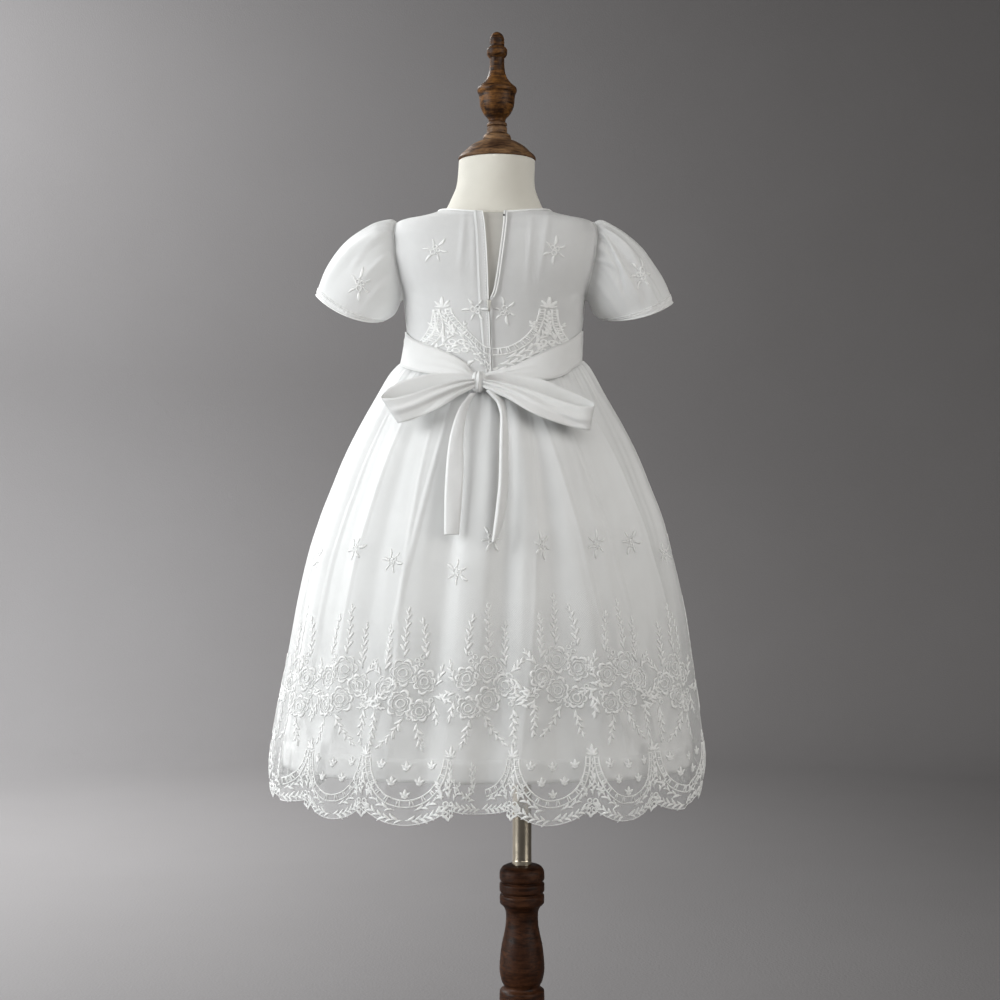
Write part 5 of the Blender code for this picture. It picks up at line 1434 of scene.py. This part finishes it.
def metal(name, colour, roughness, streak):
    """Metal with a fine streak round it and soft patches of dullness."""
    made, tree, shader, flat, place = finish(name, Metallic=1.0)
    drawn = node(tree, "VectorMath", {0: place, 1: streak}, operation="MULTIPLY").outputs[0]
    brush = node(tree, "TexNoise", {"Vector": drawn, "Scale": 1.0, "Detail": 3.0}).outputs[0]
    mottle = use(tree, MOTTLE, Vector=place, Scale=30.0)["Value"]
    tone = calc(tree, "MULTIPLY_ADD", brush, 0.5, calc(tree, "MULTIPLY", mottle, 0.5), clamp=True)
    join(tree, between(tree, tone, tuple(0.86 * part for part in colour) + (1,), (*colour, 1)),
         shader.inputs["Base Color"])
    join(tree, calc(tree, "MULTIPLY_ADD", mottle, 0.12, calc(tree, "MULTIPLY_ADD", brush, 0.08, roughness - 0.1)),
         shader.inputs["Roughness"])
    raise_by(tree, shader, brush, 0.00003, 0.5)
    return made


BODICE = lined_net()
TULLE = net_cloth("skirt_net", (0.88, 0.885, 0.88), 0.12, 0.55, 0.65, 0.42, Sheen_Weight=0.2, Sheen_Roughness=0.5)
SLEEVE_NET = net_cloth("sleeve_net", (0.84, 0.845, 0.84), 0.62, 0.96, 0.65, Sheen_Weight=0.2,
                       Sheen_Roughness=0.5)
LINING = woven("lining_cloth", (0.86, 0.86, 0.85), (0.81, 0.81, 0.80), 0.55, 0.0004, 0.0005, 0.00008,
               Sheen_Weight=0.15)
BAND = woven("folded_band", (0.84, 0.84, 0.835), (0.78, 0.78, 0.77), 0.6, 0.0005, 0.0006, 0.0001,
             Sheen_Weight=0.2)
# painted shade: the underlap is coloured a darker beige-grey for the shade inside the opening
UNDER = woven("underlap_painted_shade", (0.62, 0.60, 0.555), (0.56, 0.54, 0.50), 0.7, 0.0005, 0.0006, 0.0001)
SATIN = woven("satin_ribbon", (0.78, 0.78, 0.77), (0.72, 0.72, 0.71), 0.40, 0.0003, 0.0012, 0.00006,
              Sheen_Weight=0.3, Sheen_Roughness=0.3)
JERSEY = woven("form_jersey", (0.83, 0.80, 0.715), (0.77, 0.74, 0.655), 0.8, 0.0009, 0.0006, 0.00012,
               Sheen_Weight=0.3)
# the second colours of the thread and the cord are painted shade for the valleys of their stitches
THREADS = stitched("embroidery_thread", (0.96, 0.96, 0.95), (0.80, 0.80, 0.785), 0.00045)
CORDS = stitched("fine_cord", (0.94, 0.94, 0.93), (0.80, 0.80, 0.78), 0.0006)
DARK_WOOD = wood("dark_turned_wood", (0.012, 0.0038, 0.0014), (0.037, 0.012, 0.0045), (0.066, 0.025, 0.0095), 0.0)
# the cap's wood is paler than the column's: partly its own tone, partly painted light from the light on its top
CAP_WOOD = wood("brown_turned_wood", (0.026, 0.0120, 0.0065), (0.110, 0.056, 0.029), (0.26, 0.150, 0.068), 0.0)
FINIAL_WOOD = wood("finial_wood", (0.010, 0.0038, 0.0016), (0.043, 0.016, 0.0050), (0.23, 0.098, 0.022), 0.02)
# painted reflection: the nickel is tinted warm brown for the warm floor that it reflects
NICKEL = metal("nickel_painted_warm_reflection", (0.71, 0.63, 0.50), 0.20, (40.0, 40.0, 900.0))
ZIP_METAL = metal("zip_metal", (0.42, 0.41, 0.38), 0.34, (600.0, 600.0, 600.0))
HOOK = metal("hook_and_eye", (0.10, 0.10, 0.10), 0.4, (600.0, 600.0, 600.0))


# ---------------------------------------------------------------- the form and its stand
def make_form():
    """The form: rings of its superellipse, a little inside the surface that the gown is built on."""
    level, turn = np.linspace(0, BODY_LEVEL[-1], 150)[:, None], np.linspace(0, 2 * math.pi, 160, endpoint=False)
    points = moved_out(level, turn[None, :], -FORM_INSET)
    index = np.arange(points.shape[0] * 160).reshape(-1, 160)
    faces = np.concatenate([quads(index, True), end_caps(index[:1], index[-1:])])
    flat = flat_places(points) * np.array([1, -1])
    piece = put_mesh("form_body", points, faces, JERSEY, flat, girth(flat))
    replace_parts(piece, "form_torso")
    return piece


def make_stand():
    """The turned base, column, cap and finial, and the nickel pole."""
    for name, stands_for, rows, middle, coat, slot in (
            ("turned_base", "base_disc", BASE_ROWS, 0.0, DARK_WOOD, "dark_wood"),
            ("turned_column", "column", COLUMN_ROWS, 0.0, DARK_WOOD, "dark_wood"),
            ("pole_tube", "pole", POLE_ROWS, 0.0, NICKEL, "nickel"),
            ("turned_neck_cap", "neck_cap", NECK_CAP_ROWS, NECK_MIDDLE, CAP_WOOD, "dark_wood"),
            ("turned_finial", "finial", FINIAL_ROWS, NECK_MIDDLE, FINIAL_WOOD, "dark_wood")):
        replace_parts(turned(name, rows, middle, coat), stands_for)


# ---------------------------------------------------------------- the bodice
def make_bodice():
    """The three panels, each a patch between its waist, centre, side and top edges."""
    panels = []
    for name, side in (("left", -1), ("right", 1)):
        heights = np.linspace(waist_height(0.0) + BODICE_LIFT, NECK_BACK, 73)
        centre = edge_angle(heights, opening(name + "_edge", heights))
        side_angle = 0.0 if side > 0 else -math.pi
        low = waist_edge(np.linspace(centre[0], side_angle, 81))
        high = neck_and_shoulder(49, 32, side, -1, centre[-1])
        patch = blended(low, high, pairs(centre, level_at(heights)), side_edge(side, -1, 25, 49))
        panels.append(panel("back_panel_" + name, patch, BODICE))
        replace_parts(panels[-1], "bodice_back_" + name)
    right, left = (neck_and_shoulder(49, 32, side, 1, math.pi / 2) for side in (1, -1))
    low = waist_edge(np.linspace(0, math.pi, 161))
    patch = blended(low, np.concatenate([right[::-1], left[1:]]), side_edge(1, 1, 25, 49), side_edge(-1, 1, 25, 49))
    front = panel("front_panel", patch, BODICE)
    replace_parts(front, "bodice_front")
    return panels + [front]


def neck_path(face, centre, side, count=40):
    """Points along the neckline from the middle to the shoulder, in the middle of the bodice's wall."""
    edge = neck_and_shoulder(count, 1, side, face, centre)[:count]
    return moved_out(edge[:, 1], edge[:, 0], EASE + CLOTH / 2) + np.array([0, 0, 0.0003])


def make_opening():
    """What lies on the centre back: the pressed placket with its topstitching, the zip's tape with two
    corded edges, the underlap, a hook's eye and the slider."""
    on_panel = EASE + CLOTH + LAID_ON
    waist = 0.7605

    def left(height):
        return opening("left_edge", height)

    def right(height):
        return opening("right_edge", height)

    def tape_edge(height):
        return right(height) + ZIP_TAPE * np.interp(height, (0.812, 0.832), (0.30, 1.0))

    placket = back_strip("placket", waist, lambda h: left(h) - opening("placket", h), left, on_panel, BODICE, 28, 100, 0.75)
    tape = back_strip("zip_tape", waist, right, tape_edge, on_panel, BODICE, 6, 100)
    underlap = back_strip("underlap", UNDERLAP_START, lambda h: left(h) - UNDERLAP_MARGIN,
                          lambda h: right(h) + UNDERLAP_MARGIN, LAID_ON, UNDER, 12, 70)
    for piece, stands_for, flat, area in (
            (placket, "placket_left", (0.0105, 0.158), 0.00135), (tape, "zip_tape_right", (0.0100, 0.158), 0.00060),
            (underlap, "zip_underlap", (0.023, 0.108), None)):
        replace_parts(piece, stands_for)

    def edge(offset, low, high, out, count=90):
        heights = np.linspace(low, high, count)
        return moved_out(level_at(heights), edge_angle(heights, offset(heights)), out)

    top = on_panel + STRIP
    for number, shift in enumerate((0.0006, 0.0033)):
        tube(f"tape_cord_{number + 1}", edge(lambda h: right(h) + shift, SLIDER_HEIGHT + 0.006, NECK_BACK - 0.0005, top),
             0.00065, CORDS)
    tube("placket_edge", edge(lambda h: left(h) - 0.0004, waist + 0.001, NECK_BACK - 0.0005, top), 0.0005,
         CORDS)
    stitches = dashes(np.stack([np.zeros(60), np.linspace(waist + 0.002, NECK_BACK - 0.002, 60)], axis=-1))

    def on_placket_edge(_, __, across, height):
        offset = left(height) - 0.0026 + across
        return moved_out(level_at(height), edge_angle(height, offset), top)

    sewn("placket_topstitch", stitches, on_placket_edge, CORDS)
    eye = edge(lambda h: right(h) + 0.0004, 0.9142, 0.9143, top + 0.0006, 2)[0]
    turn = np.linspace(0, 2 * math.pi, 20)
    ring = eye + 0.0006 * np.stack([np.cos(turn), 0 * turn, np.sin(turn)], axis=-1)
    tube("hook_eye", ring, 0.0006, HOOK, across=(0, 1, 0))
    make_slider(edge(left, SLIDER_HEIGHT, SLIDER_HEIGHT + 1e-4, top, 2)[0])


def make_slider(place):
    """The slider: a rounded body with a waist, a bridge over it, and a flat pull with a round hole."""
    turn = np.linspace(0, 2 * math.pi, 32, endpoint=False)

    def block(name, rows, depth, middle):
        rows = np.array(rows)[:, :, None] * np.array([[0.8], [0.8], [1.0]])
        reach = (np.abs(np.cos(turn)) ** 4 + np.abs(np.sin(turn)) ** 4) ** -0.25
        rings = np.stack([middle[0] + rows[:, 1] * reach * np.cos(turn),
                          middle[1] + depth * rows[:, 2] * reach * np.sin(turn),
                          middle[2] + rows[:, 0] + 0 * turn], axis=-1)
        index = np.arange(rings.shape[0] * 32).reshape(-1, 32)
        faces = np.concatenate([quads(index, True), end_caps(index[:1], index[-1:])])
        flat = np.stack(np.broadcast_arrays(turn * 0.002, rows[:, 0]), axis=-1)
        return put_mesh(name, rings, faces, ZIP_METAL, flat)

    body = block("slider_body", (
        (-0.0052, 0.0010, 0.55), (-0.0049, 0.0014, 0.85), (-0.0030, 0.0017, 1.0), (-0.0005, 0.0020, 1.0),
        (0.0020, 0.0025, 1.0), (0.0042, 0.0026, 1.0), (0.0049, 0.0023, 0.85), (0.0052, 0.0017, 0.55)),
        0.0009, place + np.array([0, -0.0010, 0]))
    block("slider_pull", (
        (-0.0105, 0.0006, 0.6), (-0.0101, 0.0011, 0.9), (-0.0090, 0.0014, 1.0), (-0.0045, 0.0011, 1.0),
        (-0.0010, 0.0009, 1.0), (0.0004, 0.0007, 0.9), (0.0009, 0.0004, 0.6)),
        0.0004, place + np.array([0, -0.0025, 0.0008]))
    turn_up = np.linspace(0, math.pi, 12)
    bridge = place + np.stack([0 * turn_up, -0.0019 - 0.0010 * np.sin(turn_up), 0.0010 + 0.0022 * np.cos(turn_up)],
                              axis=-1)
    tube("slider_bridge", bridge, 0.0004, ZIP_METAL)
    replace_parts(body, "zip_slider")


def make_seams():
    """The neckline's binding, and the cords of the side, shoulder and armhole seams."""
    centres = {side: edge_angle(NECK_BACK, opening(name + "_edge", NECK_BACK)) for name, side in SIDES.items()}
    for name, side in SIDES.items():
        tube("neck_binding_" + name, neck_path(-1, centres[side], side), 0.0011, CORDS, 10)
        level = np.linspace(level_at(WAIST + 0.001), level_at(UNDERARM - 0.001), 30)
        angle = 0.0 if side > 0 else math.pi
        tube("side_seam_" + name, moved_out(level, angle, EASE + CLOTH), 0.0005, CORDS)
        level = np.linspace(level_at(NECK_SIDE), level_at(SHOULDER_TIP), 30)
        tube("shoulder_seam_" + name, moved_out(level, angle, EASE + CLOTH), 0.0005, CORDS)
        ring = armhole_ring(side, np.linspace(0, 360, 161)) + np.array([side * SEAM, 0, 0])
        tube("armhole_seam_" + name, ring, 0.0006, CORDS, across=(1, 0, 0))
    front = [neck_path(1, math.pi / 2, side) for side in (1, -1)]
    tube("neck_binding_front", np.concatenate([front[0][::-1], front[1][1:]]), 0.0011, CORDS, 10)


# ---------------------------------------------------------------- sleeves, skirt, sash and bow
def make_sleeves():
    """Each sleeve is a tube of net, with a folded band inside its cuff."""
    for name in SIDES:
        share = np.linspace(0, 1, 64)[:, None] ** 1.2
        turn = np.linspace(0, 360, 260, endpoint=False)[None, :]
        if SIDES[name] > 0:
            turn = turn[:, ::-1]
        net = net_sheet("puff_sleeve_" + name, sleeve_point(name, share, turn), SLEEVE_NET)
        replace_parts(net, "sleeve_" + name)
        share = np.linspace(0.915, 1.003, 8)[:, None]
        cuff = wall("cuff_" + name, sleeve_point(name, share, turn, 0.0004), sleeve_point(name, share, turn, -0.0006),
                    BAND, True)
        around_cuff = np.linspace(0, 360, 241)
        lines = [tube(f"cuff_line_{name}_{number + 1}", sleeve_point(name, np.full(241, share), around_cuff, 0.0003), size,
                      CORDS, 6, (SIDES[name], 0, -1))
                 for number, (share, size) in enumerate(((0.905, 0.0004), (0.945, 0.0004), (0.998, 0.0008)))]


def make_skirt():
    """The net overlay and the lining, both all round."""
    turn = np.linspace(-180, 180, 800, endpoint=False)[None, :]
    seam = waist_height(np.radians(turn))
    share = np.concatenate([np.linspace(0, 0.12, 18)[:-1], np.linspace(0.12, 1, 80)])[:, None]
    overlay = net_sheet("tulle_overlay", overlay_point(turn, seam - share * (seam - hem_height(turn))), TULLE)
    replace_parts(overlay, "skirt_overlay")
    turn = np.linspace(-180, 180, 400, endpoint=False)[None, :]
    seam = waist_height(np.radians(turn))
    height = seam - np.linspace(0, 1, 40)[:, None] * (seam - LINING_HEM)
    lining = wall("lining", lining_point(turn, height), lining_point(turn, height, -CLOTH), LINING,
                  True)
    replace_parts(lining, "skirt_lining")
    band = wall("lining_hem", lining_point(turn, LINING_HEM - 0.0003 + np.linspace(0.022, 0, 6)[:, None], 0.0004),
                lining_point(turn, LINING_HEM - 0.0003 + np.linspace(0.022, 0, 6)[:, None], -CLOTH - 0.0003), LINING,
                True)


def make_sash():
    """The sash, with a fine cord along both edges."""
    outer = sash_grid()
    inner = outer + RIBBON * grid_normals(outer, False)
    sash = wall("sash_band", outer, inner, SATIN, False)
    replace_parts(sash, "sash")
    middle = (outer + inner) / 2
    edges = [tube("sash_edge_" + name, middle[row], 0.0007, SATIN, 6)
             for name, row in (("upper", 0), ("lower", -1))]


def make_knot():
    """The knot: rings that bulge in the middle, with upright folds as a sum of waves round them."""
    height = np.linspace(-1, 1, 26)[:, None]
    turn = np.linspace(0, 2 * math.pi, 72, endpoint=False)[None, :]
    swell = (1 - 0.50 * np.abs(height) ** 4) * (1 + 0.05 * np.sin(height * 3.1))
    folds = 1 + 0.085 * np.cos(turn * 8 + 0.5 * height) + 0.035 * np.cos(turn * 17 - height + 1.0)
    x = KNOT[0] + KNOT_HALF[0] * swell * folds ** 0.5 * np.cos(turn) + 0.0005 * np.sin(height * 2)
    y = KNOT[1] + KNOT_HALF[1] * swell * folds * np.sin(turn)
    z = KNOT[2] + KNOT_HALF[2] * height + 0.0006 * np.cos(turn * 8)
    points = np.stack(np.broadcast_arrays(x, y, z), axis=-1)
    index = np.arange(points.shape[0] * 72).reshape(-1, 72)
    faces = np.concatenate([quads(index, True), end_caps(index[:1], index[-1:])])
    flat = flat_places(points) * np.array([1, -1])
    knot = put_mesh("ribbon_knot", points, faces, SATIN, flat, girth(flat))
    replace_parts(knot, "bow_knot")


def make_bow():
    """Two loops and two tails, each a ribbon with a fine cord along its edges."""
    for kind, grid, flat, cloth in (("loop", loop_grid, (0.024, 0.20), SATIN), ("tail", tail_grid, (0.013, 0.145), BAND)):
        for name in SIDES:
            middle = grid(name)
            half = RIBBON / 2 * grid_normals(middle, False)
            ribbon = wall(f"ribbon_{kind}_{name}", middle + half, middle - half, cloth, False)
            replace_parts(ribbon, f"bow_{kind}_{name}")
            lines = (middle[0], middle[-1]) if kind == "loop" else (middle[:, 0], middle[:, -1])
            edges = [tube(f"{kind}_edge_{name}_{number + 1}", line_, 0.00065, cloth, 6)
                     for number, line_ in enumerate(lines)]


# ---------------------------------------------------------------- the embroidery
def bodice_lace():
    """The border of the bodice: repeats along it without the hem's edge."""
    strokes = []
    for number in range(-3, 4):
        left = number * LACE_REPEAT
        strokes += cusp(left, LADDER_LOW, LADDER_LOW, 0.0085, 3) + ladder(left, LADDER_LOW, 0.0, 21)
    return strokes


def on_bodice_border(_, __, right, up):
    """The bodice's border: repeats along it become turns round the form, one of them centred at the
    back between the angles of its two cusps. The cusp on the left leans, its foot to the right."""
    right = right + 0.36 * np.maximum(0.0600 - up, 0) * bump(right - 0.004, 0.036)
    turn = (right / LACE_REPEAT - 0.5) * 89.8 - 89.1
    angle = np.radians(turn)
    height = 0.7625 + up
    level = level_at(height)
    offset = np.where(np.abs(turn + 90) < 30, np.tan(angle + math.pi / 2), 9.0) * (
        smooth(level, BODY_LEVEL, BODY_TABLE["half_depth"]) + EASE + CLOTH)
    edge = opening("left_edge", height)
    raised_by = ((offset < edge) & (offset > edge - opening("placket", height))) * (LAID_ON + STRIP)
    return bodice_point(level, angle, EASE + CLOTH + 0.0001 + raised_by)


def make_embroidery():
    """Every motif, laid on the cloth that it is sewn to."""
    sewn("hem_lace", hem_lace(), on_hem, THREADS)
    for name, way, first in (("", 1, 0), ("_turned", -1, 1)):
        spots = [(turn, height, 0.03 * way) for turn, height in BOUQUET_PLACES[first::2]]
        motif = [(path * np.array([way, 1]), *rest) for path, *rest in bouquet()]
        sewn("skirt_bouquets" + name, motif, on_skirt, THREADS, spots)
    spots = [(turn, height, 0.4 * number) for number, (turn, height) in enumerate(SKIRT_SPRIGS)]
    sewn("skirt_sprigs", sprig(), on_skirt, THREADS, spots)
    sewn("bodice_border", bodice_lace(), on_bodice_border, THREADS)
    for name, face in (("back", -1), ("front", 1)):
        sewn("bodice_sprigs_" + name, sprig(), on_bodice(face), THREADS, BODICE_SPRIGS[name])
    for name in SIDES:
        sewn("sleeve_sprigs_" + name, sprig(), on_sleeve(name), THREADS, SLEEVE_SPRIGS[name])


# ---------------------------------------------------------------- floor, wall, light and camera
def make_stage():
    """A pale floor that curves up into a round wall, open above. Its colour is painted lighter towards -X and
    darker towards +X: painted light falling from the left.
    """
    made, tree, shader, flat, place = finish("studio_canvas", Roughness=0.9)
    mottle = use(tree, MOTTLE, Vector=place, Scale=0.9, Spread=0.8)["Value"]
    # painted light: side makes the canvas lighter towards -X and darker towards +X, as if lit from the left
    side = node(tree, "MapRange", {"Value": node(tree, "SeparateXYZ", {0: place}).outputs[0], "From Min": 1.7,
                                   "From Max": -1.7}).outputs[0]
    speck = node(tree, "TexNoise", {"Vector": place, "Scale": 260.0, "Detail": 2.0}).outputs[0]
    mottle = calc(tree, "MULTIPLY_ADD", mottle, 0.14, calc(tree, "MULTIPLY_ADD", side, 0.72, calc(tree, "MULTIPLY", speck, 0.14)))
    join(tree, between(tree, mottle, (0.098, 0.091, 0.089, 1), (0.178, 0.175, 0.178, 1)), shader.inputs["Base Color"])
    raise_by(tree, shader, speck, 0.0012, 0.5)
    bend = np.linspace(0, math.pi / 2, 24)
    radius = np.concatenate([[0.001, 1.0, 2.0], WALL_RADIUS - 1.0 + np.sin(bend), [WALL_RADIUS]])
    height = np.concatenate([[0.0, 0.0, 0.0], 1.0 - np.cos(bend), [4.5]])
    turn = np.linspace(0, 2 * math.pi, 128, endpoint=False)[None, :]
    points = np.stack(np.broadcast_arrays(radius[:, None] * np.cos(turn), radius[:, None] * np.sin(turn),
                                          height[:, None] - 0.0005), axis=-1)
    index = np.arange(points.shape[0] * 128).reshape(-1, 128)
    mesh = bpy.data.meshes.new("studio_sweep")
    mesh.from_pydata(points.reshape(-1, 3).tolist(), [], quads(index, True)[:, ::-1].tolist())
    layer = mesh.uv_layers.new(name="cloth")
    turns = np.broadcast_to(turn * WALL_RADIUS, points.shape[:2])
    run = np.broadcast_to(np.cumsum(np.hypot(np.diff(radius, prepend=0), np.diff(height, prepend=0)))[:, None],
                          points.shape[:2])
    places = np.stack([turns, run], axis=-1).reshape(-1, 2)
    layer.data.foreach_set("uv", places[quads(index, True)[:, ::-1].ravel()].astype(np.float32).ravel())
    mesh.shade_smooth()
    mesh.materials.append(made)
    sweep = bpy.data.objects.new("studio_sweep", mesh)
    bpy.context.scene.collection.objects.link(sweep)


def light(name, place, aim, size, power, colour=(1, 1, 1)):
    """A square soft light at a place, aimed at a point."""
    lamp = bpy.data.lights.new(name, "AREA")
    lamp.shape, lamp.size, lamp.energy, lamp.color, lamp.spread = "SQUARE", size, power, colour, LIGHT_SPREAD
    holder = bpy.data.objects.new(name, lamp)
    holder.location = place
    holder.visible_camera = False
    holder.rotation_euler = (Vector(aim) - Vector(place)).to_track_quat("-Z", "Y").to_euler()
    bpy.context.scene.collection.objects.link(holder)


def make_view():
    """The lights and the camera."""
    light("side_light", (-2.9, -0.9, 1.3), (0.0, 0.0, 0.65), 2.2, 82.0, (0.965, 0.99, 1.0))
    light("front_light", (0.6, -2.9, 2.2), (0.0, 0.0, 0.65), 2.8, 25.0, (1.0, 0.99, 0.98))
    light("fill_light", (2.4, -1.6, 1.2), (0.0, 0.0, 0.6), 1.8, 24.0, (1.0, 0.985, 0.95))
    light("wall_light", (-1.7, 1.6, 2.1), (-1.4, 3.5, 0.9), 1.2, 54.0)
    light("floor_light", (-1.2, 1.2, 1.8), (-1.1, 1.1, 0.0), 1.0, 52.0)
    light("near_wall_light", (-2.2, 0.0, 2.4), (-3.5, -0.6, 1.6), 1.6, 18.0)
    world = bpy.data.worlds.new("room_light")
    world.use_nodes = True
    world.node_tree.nodes["Background"].inputs["Color"].default_value = (1.0, 0.985, 0.96, 1)
    world.node_tree.nodes["Background"].inputs["Strength"].default_value = 0.15
    bpy.context.scene.world = world
    bpy.context.scene.view_settings.view_transform = "Standard"
    lens = bpy.data.cameras.new("camera")
    lens.lens, lens.sensor_width = CAMERA_LENS, 36.0
    camera = bpy.data.objects.new("camera", lens)
    camera.location = CAMERA_PLACE
    camera.rotation_euler = (math.pi / 2, 0.0, 0.0)
    bpy.context.scene.collection.objects.link(camera)
    bpy.context.scene.camera = camera


make_form()
make_stand()
make_bodice()
make_opening()
make_seams()
make_sleeves()
make_skirt()
make_sash()
make_knot()
make_bow()
make_embroidery()
make_stage()
make_view()
